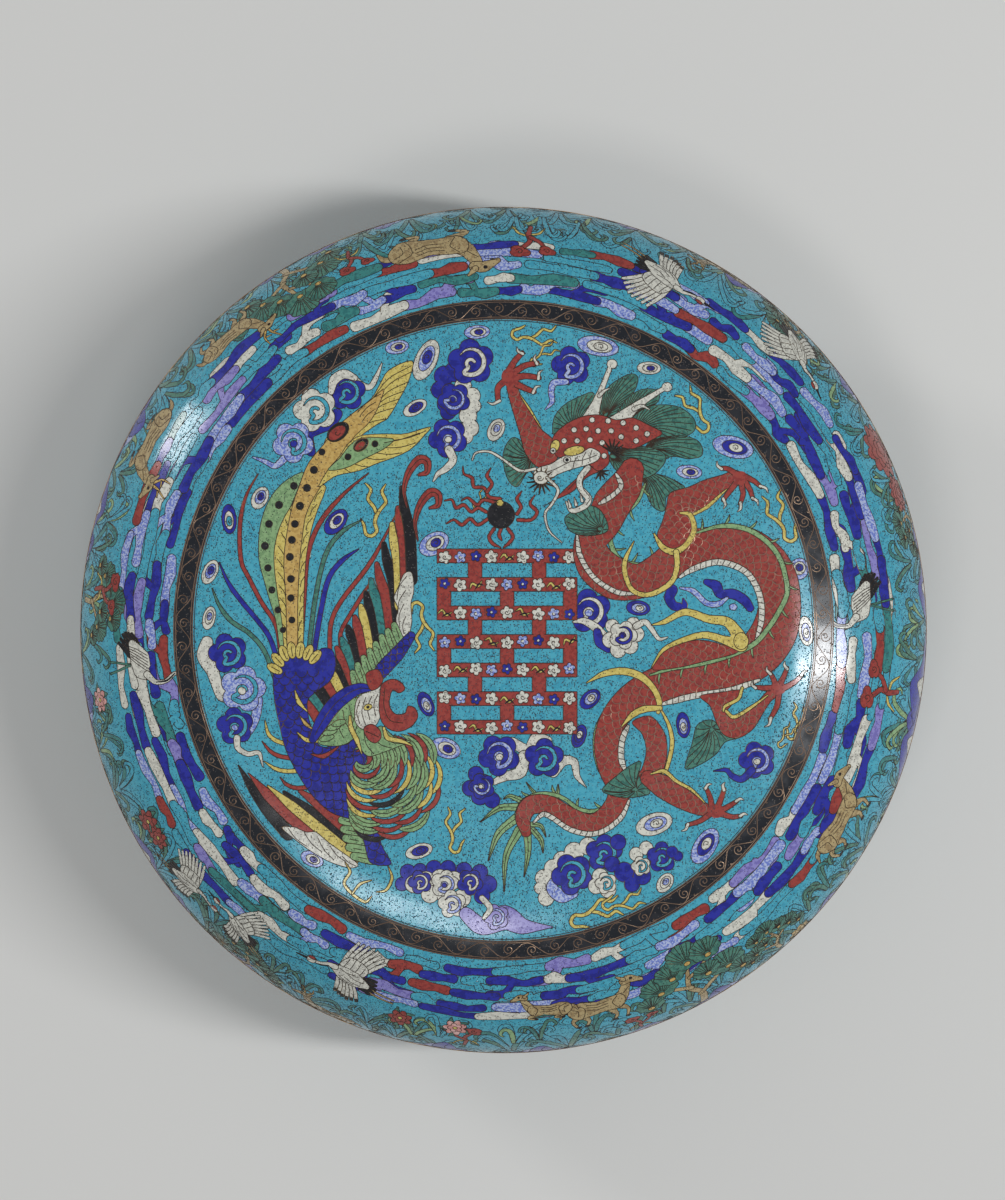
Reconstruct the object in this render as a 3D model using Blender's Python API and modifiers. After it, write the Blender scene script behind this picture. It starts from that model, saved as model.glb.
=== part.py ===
"""A round cloisonne enamel box: a domed lid resting on a shallow bowl with a foot ring.

Metres, +Z up. The origin is on the axis of the box, at the height of the surface it stands on.
The inlaid picture is flush with the enamel, so the lid and the bowl are smooth turned shells.
"""

import math

import bpy

# Widest part of the box, at the mouth
BODY_RADIUS = 0.210
WALL = 0.0032

# Lid: nearly flat across the top, then a round shoulder down to its mouth
LID_SHOULDER_WIDTH = 0.078
LID_FLAT_RADIUS = BODY_RADIUS - LID_SHOULDER_WIDTH
LID_RISE = 0.060
LID_CROWN = 0.006
LID_FULLNESS = 2.15

# Bowl: flat underneath, with a round side up to its mouth
BOWL_SIDE_WIDTH = 0.064
BASE_RADIUS = BODY_RADIUS - BOWL_SIDE_WIDTH
BOWL_DEPTH = 0.066
BOWL_FULLNESS = 2.1

# Gilt bands round both mouths
BAND_HEIGHT = 0.0055
BAND_PROUD = 0.0008
BAND_WIDTH = 0.0050
MOUTH_GAP = 0.0004

# Upright flange of the bowl's band, which locates the lid
FLANGE_HEIGHT = 0.0070
FLANGE_THICKNESS = 0.0022
FLANGE_CLEARANCE = 0.0006

# Foot ring under the bowl
FOOT_HEIGHT = 0.0120
FOOT_INSET = 0.0045
FOOT_OUTER_RADIUS = BASE_RADIUS - FOOT_INSET
FOOT_THICKNESS = 0.0050

JOINT_GAP = 0.0003
EDGE_ROUNDING = 0.0006

# How finely the turned surfaces are divided
TURN_STEPS = 64
SHOULDER_STEPS = 9
EDGE_STEPS = 1
MERGE_DISTANCE = 0.00005
SHARP_ANGLE = math.radians(40)

# Heights worked out from the sizes above
BOWL_BOTTOM = FOOT_HEIGHT
BOWL_MOUTH = BOWL_BOTTOM + BOWL_DEPTH
BOWL_BAND_BOTTOM = BOWL_MOUTH + JOINT_GAP
BOWL_BAND_TOP = BOWL_BAND_BOTTOM + BAND_HEIGHT
LID_BAND_BOTTOM = BOWL_BAND_TOP + MOUTH_GAP
LID_BAND_TOP = LID_BAND_BOTTOM + BAND_HEIGHT
LID_MOUTH = LID_BAND_TOP + JOINT_GAP

BAND_OUTER_RADIUS = BODY_RADIUS + BAND_PROUD
BAND_INNER_RADIUS = BAND_OUTER_RADIUS - BAND_WIDTH
FLANGE_OUTER_RADIUS = BAND_INNER_RADIUS - FLANGE_CLEARANCE
FLANGE_INNER_RADIUS = FLANGE_OUTER_RADIUS - FLANGE_THICKNESS

TURQUOISE = (0.045, 0.300, 0.420, 1.0)
GILT = (0.560, 0.390, 0.170, 1.0)


def clear_scene():
    for old in list(bpy.data.objects):
        bpy.data.objects.remove(old)


def make_collection(name):
    collection = bpy.data.collections.new(name)
    bpy.context.scene.collection.children.link(collection)
    return collection


def make_material(name, colour, roughness, metallic):
    material = bpy.data.materials.new(name)
    material.use_nodes = True
    shader = material.node_tree.nodes["Principled BSDF"]
    shader.inputs["Base Color"].default_value = colour
    shader.inputs["Roughness"].default_value = roughness
    shader.inputs["Metallic"].default_value = metallic
    return material


def quarter_curve(start_radius, end_radius, height, fullness, steps):
    """Points (radius, drop) of a quarter of a superellipse, from level to upright."""
    points = []
    for step in range(1, steps + 1):
        angle = math.pi / 2 * step / steps
        across = math.sin(angle) ** (2 / fullness)
        drop = 1 - abs(math.cos(angle)) ** (2 / fullness) if step < steps else 1.0
        points.append((start_radius + (end_radius - start_radius) * across, height * drop))
    return points


def crown_height(radius):
    """How far the lid's gentle crown lifts its surface at this radius."""
    return LID_CROWN * (1 - (radius / BODY_RADIUS) ** 2)


def lid_profile():
    """The lid's outer surface, from the middle of the top out and down to the mouth."""
    top = LID_MOUTH + LID_RISE
    flat = [0.0, LID_FLAT_RADIUS / 2, LID_FLAT_RADIUS]
    profile = [(radius, top + crown_height(radius)) for radius in flat]
    for radius, drop in quarter_curve(LID_FLAT_RADIUS, BODY_RADIUS, LID_RISE, LID_FULLNESS, SHOULDER_STEPS):
        profile.append((radius, top - drop + crown_height(radius)))
    return profile


def bowl_profile():
    """The bowl's outer surface, from the mouth down and in to the middle of the base."""
    side = quarter_curve(BASE_RADIUS, BODY_RADIUS, BOWL_DEPTH, BOWL_FULLNESS, SHOULDER_STEPS)
    profile = [(radius, BOWL_BOTTOM + rise) for radius, rise in reversed(side)]
    profile.append((BASE_RADIUS, BOWL_BOTTOM))
    profile.append((0.0, BOWL_BOTTOM))
    return profile


def turned(name, profile, closed, collection, material):
    """A profile of (radius, height) points, turned all the way round the box's axis."""
    mesh = bpy.data.meshes.new(name)
    vertices = [(radius, 0.0, height) for radius, height in profile]
    edges = [(index, index + 1) for index in range(len(profile) - 1)]
    if closed:
        edges.append((len(profile) - 1, 0))
    mesh.from_pydata(vertices, edges, [])
    piece = bpy.data.objects.new(name, mesh)
    collection.objects.link(piece)
    mesh.materials.append(material)
    screw = piece.modifiers.new("turn", "SCREW")
    screw.axis = "Z"
    screw.angle = math.tau
    screw.steps = TURN_STEPS
    screw.render_steps = TURN_STEPS
    screw.use_merge_vertices = True
    screw.merge_threshold = MERGE_DISTANCE
    screw.use_smooth_shade = True
    return piece


def add_wall(piece):
    """Gives a turned surface its thickness, inwards from the outer face."""
    solidify = piece.modifiers.new("wall", "SOLIDIFY")
    solidify.thickness = WALL
    solidify.offset = -1
    solidify.use_even_offset = True
    solidify.use_quality_normals = True


def round_edges(piece):
    bevel = piece.modifiers.new("rounded edges", "BEVEL")
    bevel.width = EDGE_ROUNDING
    bevel.segments = EDGE_STEPS
    bevel.limit_method = "ANGLE"
    bevel.angle_limit = SHARP_ANGLE


def add_lid(collection, material):
    lid = turned("lid", lid_profile(), False, collection, material)
    add_wall(lid)
    return lid


def add_bowl(collection, material):
    bowl = turned("bowl", bowl_profile(), False, collection, material)
    add_wall(bowl)
    return bowl


def add_lid_band(collection, material):
    section = [
        (BAND_INNER_RADIUS, LID_BAND_TOP),
        (BAND_OUTER_RADIUS, LID_BAND_TOP),
        (BAND_OUTER_RADIUS, LID_BAND_BOTTOM),
        (BAND_INNER_RADIUS, LID_BAND_BOTTOM),
    ]
    band = turned("lid_band", section, True, collection, material)
    round_edges(band)
    return band


def add_bowl_band(collection, material):
    """The bowl's mouth band and the flange that stands up inside the lid, as one ring."""
    flange_top = BOWL_BAND_TOP + FLANGE_HEIGHT
    section = [
        (FLANGE_INNER_RADIUS, flange_top),
        (FLANGE_OUTER_RADIUS, flange_top),
        (FLANGE_OUTER_RADIUS, BOWL_BAND_TOP),
        (BAND_OUTER_RADIUS, BOWL_BAND_TOP),
        (BAND_OUTER_RADIUS, BOWL_BAND_BOTTOM),
        (FLANGE_INNER_RADIUS, BOWL_BAND_BOTTOM),
    ]
    band = turned("bowl_band", section, True, collection, material)
    round_edges(band)
    return band


def add_foot_ring(collection, material):
    top = BOWL_BOTTOM - JOINT_GAP
    inner = FOOT_OUTER_RADIUS - FOOT_THICKNESS
    section = [(inner, top), (FOOT_OUTER_RADIUS, top), (FOOT_OUTER_RADIUS, 0.0), (inner, 0.0)]
    foot = turned("foot_ring", section, True, collection, material)
    round_edges(foot)
    return foot


def main():
    clear_scene()
    collection = make_collection("cloisonne_box")
    enamel = make_material("turquoise enamel", TURQUOISE, 0.30, 0.0)
    gilt = make_material("gilded copper", GILT, 0.35, 1.0)
    add_lid(collection, enamel)
    add_bowl(collection, enamel)
    add_lid_band(collection, gilt)
    add_bowl_band(collection, gilt)
    add_foot_ring(collection, gilt)
    bpy.context.view_layer.update()


main()
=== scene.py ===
"""Looks of a round cloisonne enamel box: a domed lid on a bowl, with gilt bands and a foot ring.

The picture on the enamel is drawn flat, as shapes in painter's order, and then laid on the box:
each shape becomes a cell of one flush enamel sheet, and its edges become thin gilt wires. The
points of the roundel's figures and clouds were placed over the photo, in its pixels.
"""

import math
from contextlib import contextmanager

import bmesh
import bpy
import numpy as np
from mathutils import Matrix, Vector
from mathutils.geometry import delaunay_2d_cdt


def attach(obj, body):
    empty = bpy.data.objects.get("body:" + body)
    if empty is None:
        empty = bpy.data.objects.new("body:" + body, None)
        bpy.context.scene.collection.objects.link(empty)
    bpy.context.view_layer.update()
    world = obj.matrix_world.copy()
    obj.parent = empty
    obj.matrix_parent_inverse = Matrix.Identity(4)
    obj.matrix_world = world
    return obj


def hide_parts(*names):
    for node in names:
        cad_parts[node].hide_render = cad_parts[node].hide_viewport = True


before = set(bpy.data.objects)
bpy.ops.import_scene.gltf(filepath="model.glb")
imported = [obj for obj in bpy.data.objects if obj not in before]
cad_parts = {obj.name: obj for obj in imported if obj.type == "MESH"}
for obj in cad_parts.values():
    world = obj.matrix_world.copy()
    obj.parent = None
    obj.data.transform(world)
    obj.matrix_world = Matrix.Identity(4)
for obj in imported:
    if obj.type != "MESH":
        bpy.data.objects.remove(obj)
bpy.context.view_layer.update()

# Sizes of the solids, in metres, as the part gives them
BODY_RADIUS = 0.210
WALL = 0.0032
LID_FLAT_RADIUS = 0.132
LID_RISE = 0.060
LID_CROWN = 0.006
LID_FULLNESS = 2.15
LID_MOUTH = 0.0900
BASE_RADIUS = 0.146
BOWL_BOTTOM = 0.0120
BOWL_DEPTH = 0.066
BOWL_FULLNESS = 2.1

# Bands and foot: how far they stand out and reach in, and between which heights they lie
BAND_PROUD = 0.0008
BAND_WIDTH = 0.0050
LID_BAND = (0.0842, 0.0897)
BOWL_BAND = (0.0783, 0.0838)
FLANGE_REACH = (0.0006, 0.0028)
FLANGE_TOP = 0.0908
BAND_EDGE = 0.0010
FLANGE_EDGE = 0.0006
FOOT_RADII = (0.1365, 0.1415)
FOOT_HEIGHT = 0.0117
FOOT_EDGE = 0.0012

# How many steps make a full turn, and how far a wall lies under its enamel
SHELL_STEPS = 192
BAND_STEPS = 216
WALL_SUNK = 0.00025

# Where the lid's picture is divided
ROUNDEL_RADIUS = 0.1498
BORDER_RADIUS = 0.1596

# Laid wire, and the most points of it in one piece
WIRE_HALF_WIDTH = 0.00028
WIRE_PROUD = 0.00010
WIRE_SUNK = 0.00006
WIRE_POINTS = 44000

# The roundel is drawn in pixels of the 1005 by 1200 picture, x to the right and y down: one pixel's
# size on the lid, and the pixel at its middle. The other drawings are in millimetres.
UNIT = 0.000482
MILLIMETRE = 0.001
MIDDLE = (503.5, 630.0)

# The camera, and how wide a pixel of its picture is for each metre in front of it
CAMERA_HEIGHT = 2.081
LENS = 120
SENSOR = 36
PICTURE_HEIGHT = 1200
PIXEL_SPREAD = SENSOR / LENS / PICTURE_HEIGHT

TURN = 2 * math.pi


# Smooth lines

def redraw(line, step):
    """The same line with even steps of about the length asked."""
    gaps = np.hypot(*np.diff(line, axis=0).T)
    along = np.concatenate([[0], np.cumsum(gaps)])
    count = max(2, int(math.ceil(along[-1] / step)) + 1)
    marks = np.linspace(0, along[-1], count)
    return np.column_stack([np.interp(marks, along, line[:, 0]), np.interp(marks, along, line[:, 1])])


def smooth(points, closed=False, step=1.5):
    """A smooth line through the points. A closed line doesn't repeat its first point."""
    points = np.array(points, float)
    if closed:
        held = np.vstack([points[-1], points, points[0], points[1]])
    else:
        held = np.vstack([2 * points[0] - points[1], points, 2 * points[-1] - points[-2]])
    share = np.linspace(0, 1, 10, endpoint=False)[:, None]
    pieces = []
    for index in range(len(held) - 3):
        a, b, c, d = held[index:index + 4]
        pieces.append(0.5 * (2 * b + (c - a) * share + (2 * a - 5 * b + 4 * c - d) * share ** 2
                             + (3 * b - a - 3 * c + d) * share ** 3))
    line = np.vstack(pieces + [held[-2][None]])
    line = redraw(line, step)
    return line[:-1] if closed else line


def sideways(line):
    """The unit vector to the left of the line at each of its points."""
    ahead = np.gradient(line, axis=0)
    ahead /= np.maximum(np.hypot(ahead[:, 0], ahead[:, 1]), 1e-9)[:, None]
    return np.column_stack([-ahead[:, 1], ahead[:, 0]])


def ribbon(points, widths, step=1.5):
    """The outline of a band along a smooth line, with widths at its points or spread evenly along it."""
    line = smooth(points, step=step)
    share = np.linspace(0, 1, len(line))
    marks = np.linspace(0, 1, len(widths))
    if len(widths) == len(points):
        gaps = np.hypot(*np.diff(np.array(points, float), axis=0).T)
        marks = np.concatenate([[0], np.cumsum(gaps)]) / gaps.sum()
    width = np.interp(share, marks, widths) / 2
    side = sideways(line) * width[:, None]
    left, right = line + side, line - side
    ends = []
    for middle, rim in ((line[-1], side[-1]), (line[0], -side[0])):
        reach = math.hypot(*rim)
        if reach < 0.8:
            ends.append(middle[None])
            continue
        turns = np.linspace(0, math.pi, 7)[1:-1]
        across = rim[None] * np.cos(turns)[:, None]
        out = np.array([rim[1], -rim[0]])[None] * np.sin(turns)[:, None]
        ends.append(middle + across + out)
    return np.vstack([left, ends[0], right[::-1], ends[1]])


def oval(x, y, wide, high, turn=0.0, count=20):
    """An oval's outline, with its half width and half height, turned clockwise by degrees."""
    angles = np.linspace(0, TURN, count, endpoint=False)
    local = np.column_stack([np.cos(angles) * wide, np.sin(angles) * high])
    return turned(local, turn) + (x, y)


def turned(points, degrees):
    angle = math.radians(degrees)
    cos, sin = math.cos(angle), math.sin(angle)
    return np.array(points, float) @ np.array([[cos, sin], [-sin, cos]])


def spiral(x, y, radius, turns, start=0.0, inner=0.15, hand=1):
    """A spiral line from its outside end to its middle."""
    share = np.linspace(0, 1, max(8, int(turns * 14)))
    angles = math.radians(start) + hand * TURN * turns * share
    reach = radius * (1 - share * (1 - inner))
    return np.column_stack([x + np.cos(angles) * reach, y + np.sin(angles) * reach])


def within(points, outline):
    """Which points lie inside a closed outline, by its winding number."""
    x, y = points[:, 0][:, None], points[:, 1][:, None]
    x0, y0 = outline.T
    x1, y1 = np.roll(outline, -1, axis=0).T
    side = (x1 - x0) * (y - y0) - (x - x0) * (y1 - y0)
    rising = ((y0 <= y) & (y1 > y) & (side > 0)).sum(1)
    falling = ((y0 > y) & (y1 <= y) & (side < 0)).sum(1)
    return rising != falling


def thinned(line, turn_limit=11.0, longest=7.0):
    """Leaves out points where the line is nearly straight."""
    if len(line) < 4:
        return line
    kept = [0]
    turned_by = 0.0
    for index in range(1, len(line) - 1):
        before = line[index] - line[index - 1]
        after = line[index + 1] - line[index]
        cross = before[0] * after[1] - before[1] * after[0]
        turned_by += math.degrees(math.atan2(cross, before @ after))
        gone = line[index] - line[kept[-1]]
        if abs(turned_by) > turn_limit or gone @ gone > longest * longest:
            kept.append(index)
            turned_by = 0.0
    kept.append(len(line) - 1)
    return line[kept]


# The drawing

class Drawing:
    """Cells and wire lines in painter's order. Coordinates go through the current placing."""

    def __init__(self, ground, period=None):
        self.ground = ground
        self.period = period
        self.cells = []
        self.lines = []
        self.place = np.array([[1.0, 0.0], [0.0, 1.0]])
        self.start = np.array([0.0, 0.0])

    @contextmanager
    def at(self, x, y, turn=0.0, size=1.0, mirrored=False):
        """Draws what follows at a place, turned clockwise by degrees."""
        held = self.place, self.start
        local = np.array([[-1.0 if mirrored else 1.0, 0.0], [0.0, 1.0]]) * size
        spun = local @ turned(np.eye(2), turn)
        self.start = np.array([x, y]) @ self.place + self.start
        self.place = spun @ self.place
        yield
        self.place, self.start = held

    def put(self, points):
        return np.array(points, float) @ self.place + self.start

    def cell(self, outline, enamel, wire=1.0):
        """A closed cell of one enamel, with its wire. It covers all that lies under it."""
        outline = self.put(outline)
        self.cells.append((outline, enamel))
        self.lines.append((np.vstack([outline, outline[0]]), wire, len(self.cells), None, False))
        return len(self.cells) - 1

    def band(self, points, widths, enamel, wire=1.0, step=1.5):
        """A cell that follows a smooth line, with its widths."""
        return self.cell(ribbon(points, widths, step), enamel, wire)

    def shape(self, points, enamel, wire=1.0, step=1.5):
        """A cell with a smooth outline."""
        return self.cell(smooth(points, True, step), enamel, wire)

    def oval(self, x, y, wide, high, enamel, wire=1.0, turn=0.0, count=20):
        return self.cell(oval(x, y, wide, high, turn, count), enamel, wire)

    def line(self, points, wire=0.75, inside=None, bright=False):
        """An open wire on the topmost cell so far, kept inside one cell where that is asked."""
        clip = None if inside is None else self.cells[inside][0]
        self.lines.append((self.put(points), wire, len(self.cells), clip, bright))

    def curve(self, points, wire=0.75, inside=None, step=1.5):
        """A smooth open wire."""
        self.line(smooth(points, step=step), wire, inside)

    def repeated(self):
        """All cells and lines, with those near the seam drawn again at its other side."""
        cells, lines = [], []
        shifts = [0.0] if self.period is None else [-self.period, 0.0, self.period]
        order = {}
        for number, (outline, enamel) in enumerate(self.cells):
            for shift in shifts:
                moved = outline + (shift, 0.0)
                if self.period and (moved[:, 0].max() < -0.02 * self.period
                                    or moved[:, 0].min() > 1.02 * self.period):
                    continue
                cells.append((moved, enamel))
            order[number + 1] = len(cells)
        order[0] = 0
        for points, wire, level, clip, bright in self.lines:
            for shift in shifts:
                moved = points + (shift, 0.0)
                if self.period and (moved[:, 0].max() < 0 or moved[:, 0].min() > self.period):
                    continue
                moved_clip = None if clip is None else clip + (shift, 0.0)
                lines.append((moved, wire, order[level], moved_clip, bright))
        return cells, lines

    def visible(self, fits):
        """The parts of every line that no later cell covers, as (points, wire, bright)."""
        cells, lines = self.repeated()
        low = np.array([outline.min(0) for outline, _ in cells]).reshape(-1, 2)
        high = np.array([outline.max(0) for outline, _ in cells]).reshape(-1, 2)
        runs = []
        for points, wire, level, clip, bright in lines:
            line = redraw(points, 0.75)
            shown = fits(line)
            if clip is not None:
                shown &= within(line, clip)
            later = np.arange(len(cells)) >= level
            near = later & (low <= line.max(0)).all(1) & (high >= line.min(0)).all(1)
            for number in np.nonzero(near)[0]:
                if not shown.any():
                    break
                spots = np.nonzero(shown)[0]
                covered = within(line[spots], cells[number][0])
                shown[spots[covered]] = False
            marks = np.diff(np.concatenate([[0], shown.astype(int), [0]]))
            for first, last in zip(np.nonzero(marks == 1)[0], np.nonzero(marks == -1)[0]):
                reach = 0 if clip is not None else 1
                run = line[max(0, first - reach):min(len(line), last + reach)]
                if len(run) > 1:
                    runs.append((thinned(run), wire, bright))
        return cells, runs


def colours_of(points, cells, ground):
    """The topmost cell's enamel at each point."""
    found = np.zeros(len(points), int)
    names = [ground]
    for outline, enamel in cells:
        if enamel not in names:
            names.append(enamel)
        low, high = outline.min(0), outline.max(0)
        near = np.nonzero(((points >= low) & (points <= high)).all(1))[0]
        if len(near):
            covered = within(points[near], outline)
            found[near[covered]] = names.index(enamel)
    return found, names


# Turned surfaces that the drawing is laid on

class Turned:
    """An outer surface turned about the box's axis, from a fine profile of radius and height."""

    def __init__(self, radius, height, rising_key):
        self.radius, self.height = np.array(radius), np.array(height)
        gaps = np.hypot(np.diff(self.radius), np.diff(self.height))
        self.along = np.concatenate([[0], np.cumsum(gaps)])
        slope_r = np.gradient(self.radius, self.along)
        slope_z = np.gradient(self.height, self.along)
        self.out, self.up = -slope_z, slope_r
        self.key = rising_key

    def spot(self, angle, along):
        radius = np.interp(along, self.along, self.radius)
        height = np.interp(along, self.along, self.height)
        return np.column_stack([np.cos(angle) * radius, np.sin(angle) * radius, height])

    def normal(self, angle, along):
        out = np.interp(along, self.along, self.out)
        up = np.interp(along, self.along, self.up)
        way = np.column_stack([np.cos(angle) * out, np.sin(angle) * out, up])
        return way / np.linalg.norm(way, axis=1)[:, None]

    def distance(self, radius, height):
        """How far along the profile a point lies."""
        keys = self.key(self.radius, self.height)
        return np.interp(self.key(radius, height), keys, self.along)


def quarter(start_radius, end_radius, height, fullness, count):
    angles = np.linspace(0, math.pi / 2, count)
    across = np.sin(angles) ** (2 / fullness)
    drop = 1 - np.clip(np.cos(angles), 0, 1) ** (2 / fullness)
    return start_radius + (end_radius - start_radius) * across, height * drop


def lid_surface():
    flat = np.linspace(0, LID_FLAT_RADIUS, 60)[:-1]
    radius, drop = quarter(LID_FLAT_RADIUS, BODY_RADIUS, LID_RISE, LID_FULLNESS, 160)
    radius = np.concatenate([flat, radius])
    drop = np.concatenate([np.zeros(len(flat)), drop])
    crown = LID_CROWN * (1 - (radius / BODY_RADIUS) ** 2)
    return Turned(radius, LID_MOUTH + LID_RISE - drop + crown, lambda r, z: r - z)


def bowl_surface():
    radius, rise = quarter(BASE_RADIUS, BODY_RADIUS, BOWL_DEPTH, BOWL_FULLNESS, 160)
    return Turned(radius[::-1], BOWL_BOTTOM + rise[::-1], lambda r, z: -r - z)


lid = lid_surface()
bowl = bowl_surface()


class RoundelSheet:
    """Lays the roundel's drawing on the top of the lid."""

    def __init__(self):
        self.radius = ROUNDEL_RADIUS / UNIT

    def fits(self, points):
        return np.hypot(points[:, 0] - MIDDLE[0], points[:, 1] - MIDDLE[1]) < self.radius

    def rim(self):
        angles = np.linspace(0, TURN, 361)
        return [np.array(MIDDLE) + np.column_stack([np.cos(angles), np.sin(angles)]) * self.radius]

    def filling(self):
        steps = np.arange(-self.radius, self.radius, 16.0)
        x, y = np.meshgrid(steps, steps)
        spots = np.column_stack([x.ravel(), y.ravel()]) + MIDDLE
        away = np.hypot(spots[:, 0] - MIDDLE[0], spots[:, 1] - MIDDLE[1])
        return spots[away < self.radius - 6]

    def lay(self, points):
        x = (points[:, 0] - MIDDLE[0]) * UNIT
        y = -(points[:, 1] - MIDDLE[1]) * UNIT
        angle = np.arctan2(y, x)
        along = np.interp(np.hypot(x, y), lid.radius, lid.along)
        return lid.spot(angle, along), lid.normal(angle, along)

    def unwrap(self, spots, middles):
        """Places on the baked picture: the roundel seen from above."""
        return spots[:, :2] / (2.02 * ROUNDEL_RADIUS) + 0.5


class SideSheet:
    """Lays a drawing round a turned side. x runs round it in millimetres and y down from its start."""

    def __init__(self, surface, first, last):
        self.surface, self.first = surface, first
        self.high = (last - first) / MILLIMETRE
        mean = float(np.interp((first + last) / 2, surface.along, surface.radius))
        self.period = TURN * mean / MILLIMETRE

    def fits(self, points):
        x, y = points[:, 0], points[:, 1]
        return (x >= 0) & (x <= self.period) & (y >= 0) & (y <= self.high)

    def rim(self):
        lines = []
        x = np.linspace(0, self.period, 241)
        for y in (0.0, self.high):
            lines.append(np.column_stack([x, np.full(len(x), y)]))
        y = np.linspace(0, self.high, max(3, int(self.high / 4) + 1))
        for share in (0, 0.25, 0.5, 0.75, 1):
            lines.append(np.column_stack([np.full(len(y), share * self.period), y]))
        return lines

    def filling(self):
        rows = max(3, int(self.high / 4) + 1)
        x, y = np.meshgrid(np.linspace(0, self.period, 241), np.linspace(0, self.high, rows)[1:-1])
        return np.column_stack([x.ravel(), y.ravel()])

    def lay(self, points):
        angle = points[:, 0] / self.period * TURN
        along = self.first + points[:, 1] * MILLIMETRE
        return self.surface.spot(angle, along), self.surface.normal(angle, along)

    def unwrap(self, spots, middles):
        """Places on the baked picture: the side cut into four rows of a quarter turn."""
        share = self.share(spots)
        row = np.clip(np.floor(self.share(middles) * 4), 0, 3)
        share = share + np.where(share - (row + 0.5) / 4 > 0.5, -1, 0)
        share = share + np.where(share - (row + 0.5) / 4 < -0.5, 1, 0)
        along = self.surface.distance(np.hypot(spots[:, 0], spots[:, 1]), spots[:, 2])
        down = (along - self.first) / (self.high * MILLIMETRE)
        return np.column_stack([np.clip(share * 4 - row, 0.001, 0.999),
                                (row + 0.03 + 0.94 * np.clip(down, 0, 1)) / 4])

    def share(self, spots):
        return (np.arctan2(spots[:, 1], spots[:, 0]) / TURN) % 1.0


def bake_map(mesh, sheet):
    """A UV map in which the baked pattern is laid out without overlaps."""
    spots = np.zeros(len(mesh.vertices) * 3)
    mesh.vertices.foreach_get("co", spots)
    spots = spots.reshape(-1, 3)
    corners = np.zeros(len(mesh.loops), int)
    mesh.loops.foreach_get("vertex_index", corners)
    counts = np.zeros(len(mesh.polygons), int)
    mesh.polygons.foreach_get("loop_total", counts)
    middles = np.zeros(len(mesh.polygons) * 3)
    mesh.polygons.foreach_get("center", middles)
    middles = np.repeat(middles.reshape(-1, 3), counts, axis=0)
    places = sheet.unwrap(spots[corners], middles)
    layer = mesh.uv_layers.new(name="OFBake")
    layer.data.foreach_set("uv", places.astype(np.float32).ravel())


def enamel_sheet(name, drawing, sheet, cells, runs):
    """One flush sheet of enamel cells, cut along the visible outlines."""
    spots, edges = [], []
    for line in [run for run, _, _ in runs] + sheet.rim():
        first = len(spots)
        spots.extend(map(tuple, line))
        edges.extend((first + index, first + index + 1) for index in range(len(line) - 1))
    spots.extend(map(tuple, sheet.filling()))
    found, _, faces, _, _, _ = delaunay_2d_cdt([Vector(spot) for spot in spots], edges, [], 0, 1e-4, False)
    flat = np.array([tuple(spot) for spot in found])
    faces = np.array(faces)
    middles = flat[faces].mean(1)
    kept = sheet.fits(middles)
    faces, middles = faces[kept], middles[kept]
    colour, names = colours_of(middles, cells, drawing.ground)
    used = np.unique(faces)
    numbers = np.full(len(flat), -1)
    numbers[used] = np.arange(len(used))
    places, normals = sheet.lay(flat[used])
    faces = numbers[faces]
    a, b, c = places[faces[:, 0]], places[faces[:, 1]], places[faces[:, 2]]
    facing = np.einsum("ij,ij->i", np.cross(b - a, c - a), normals[faces[:, 0]])
    faces[facing < 0] = faces[facing < 0][:, ::-1]
    mesh = bpy.data.meshes.new(name)
    mesh.from_pydata(places.tolist(), [], faces.tolist())
    for enamel in names:
        mesh.materials.append(enamels[enamel])
    mesh.polygons.foreach_set("material_index", colour.astype(np.int32))
    mesh.polygons.foreach_set("use_smooth", np.ones(len(faces), bool))
    mesh.normals_split_custom_set_from_vertices(normals.tolist())
    bake_map(mesh, sheet)
    piece = bpy.data.objects.new(name, mesh)
    bpy.context.scene.collection.objects.link(piece)
    return piece


# Wires

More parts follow.
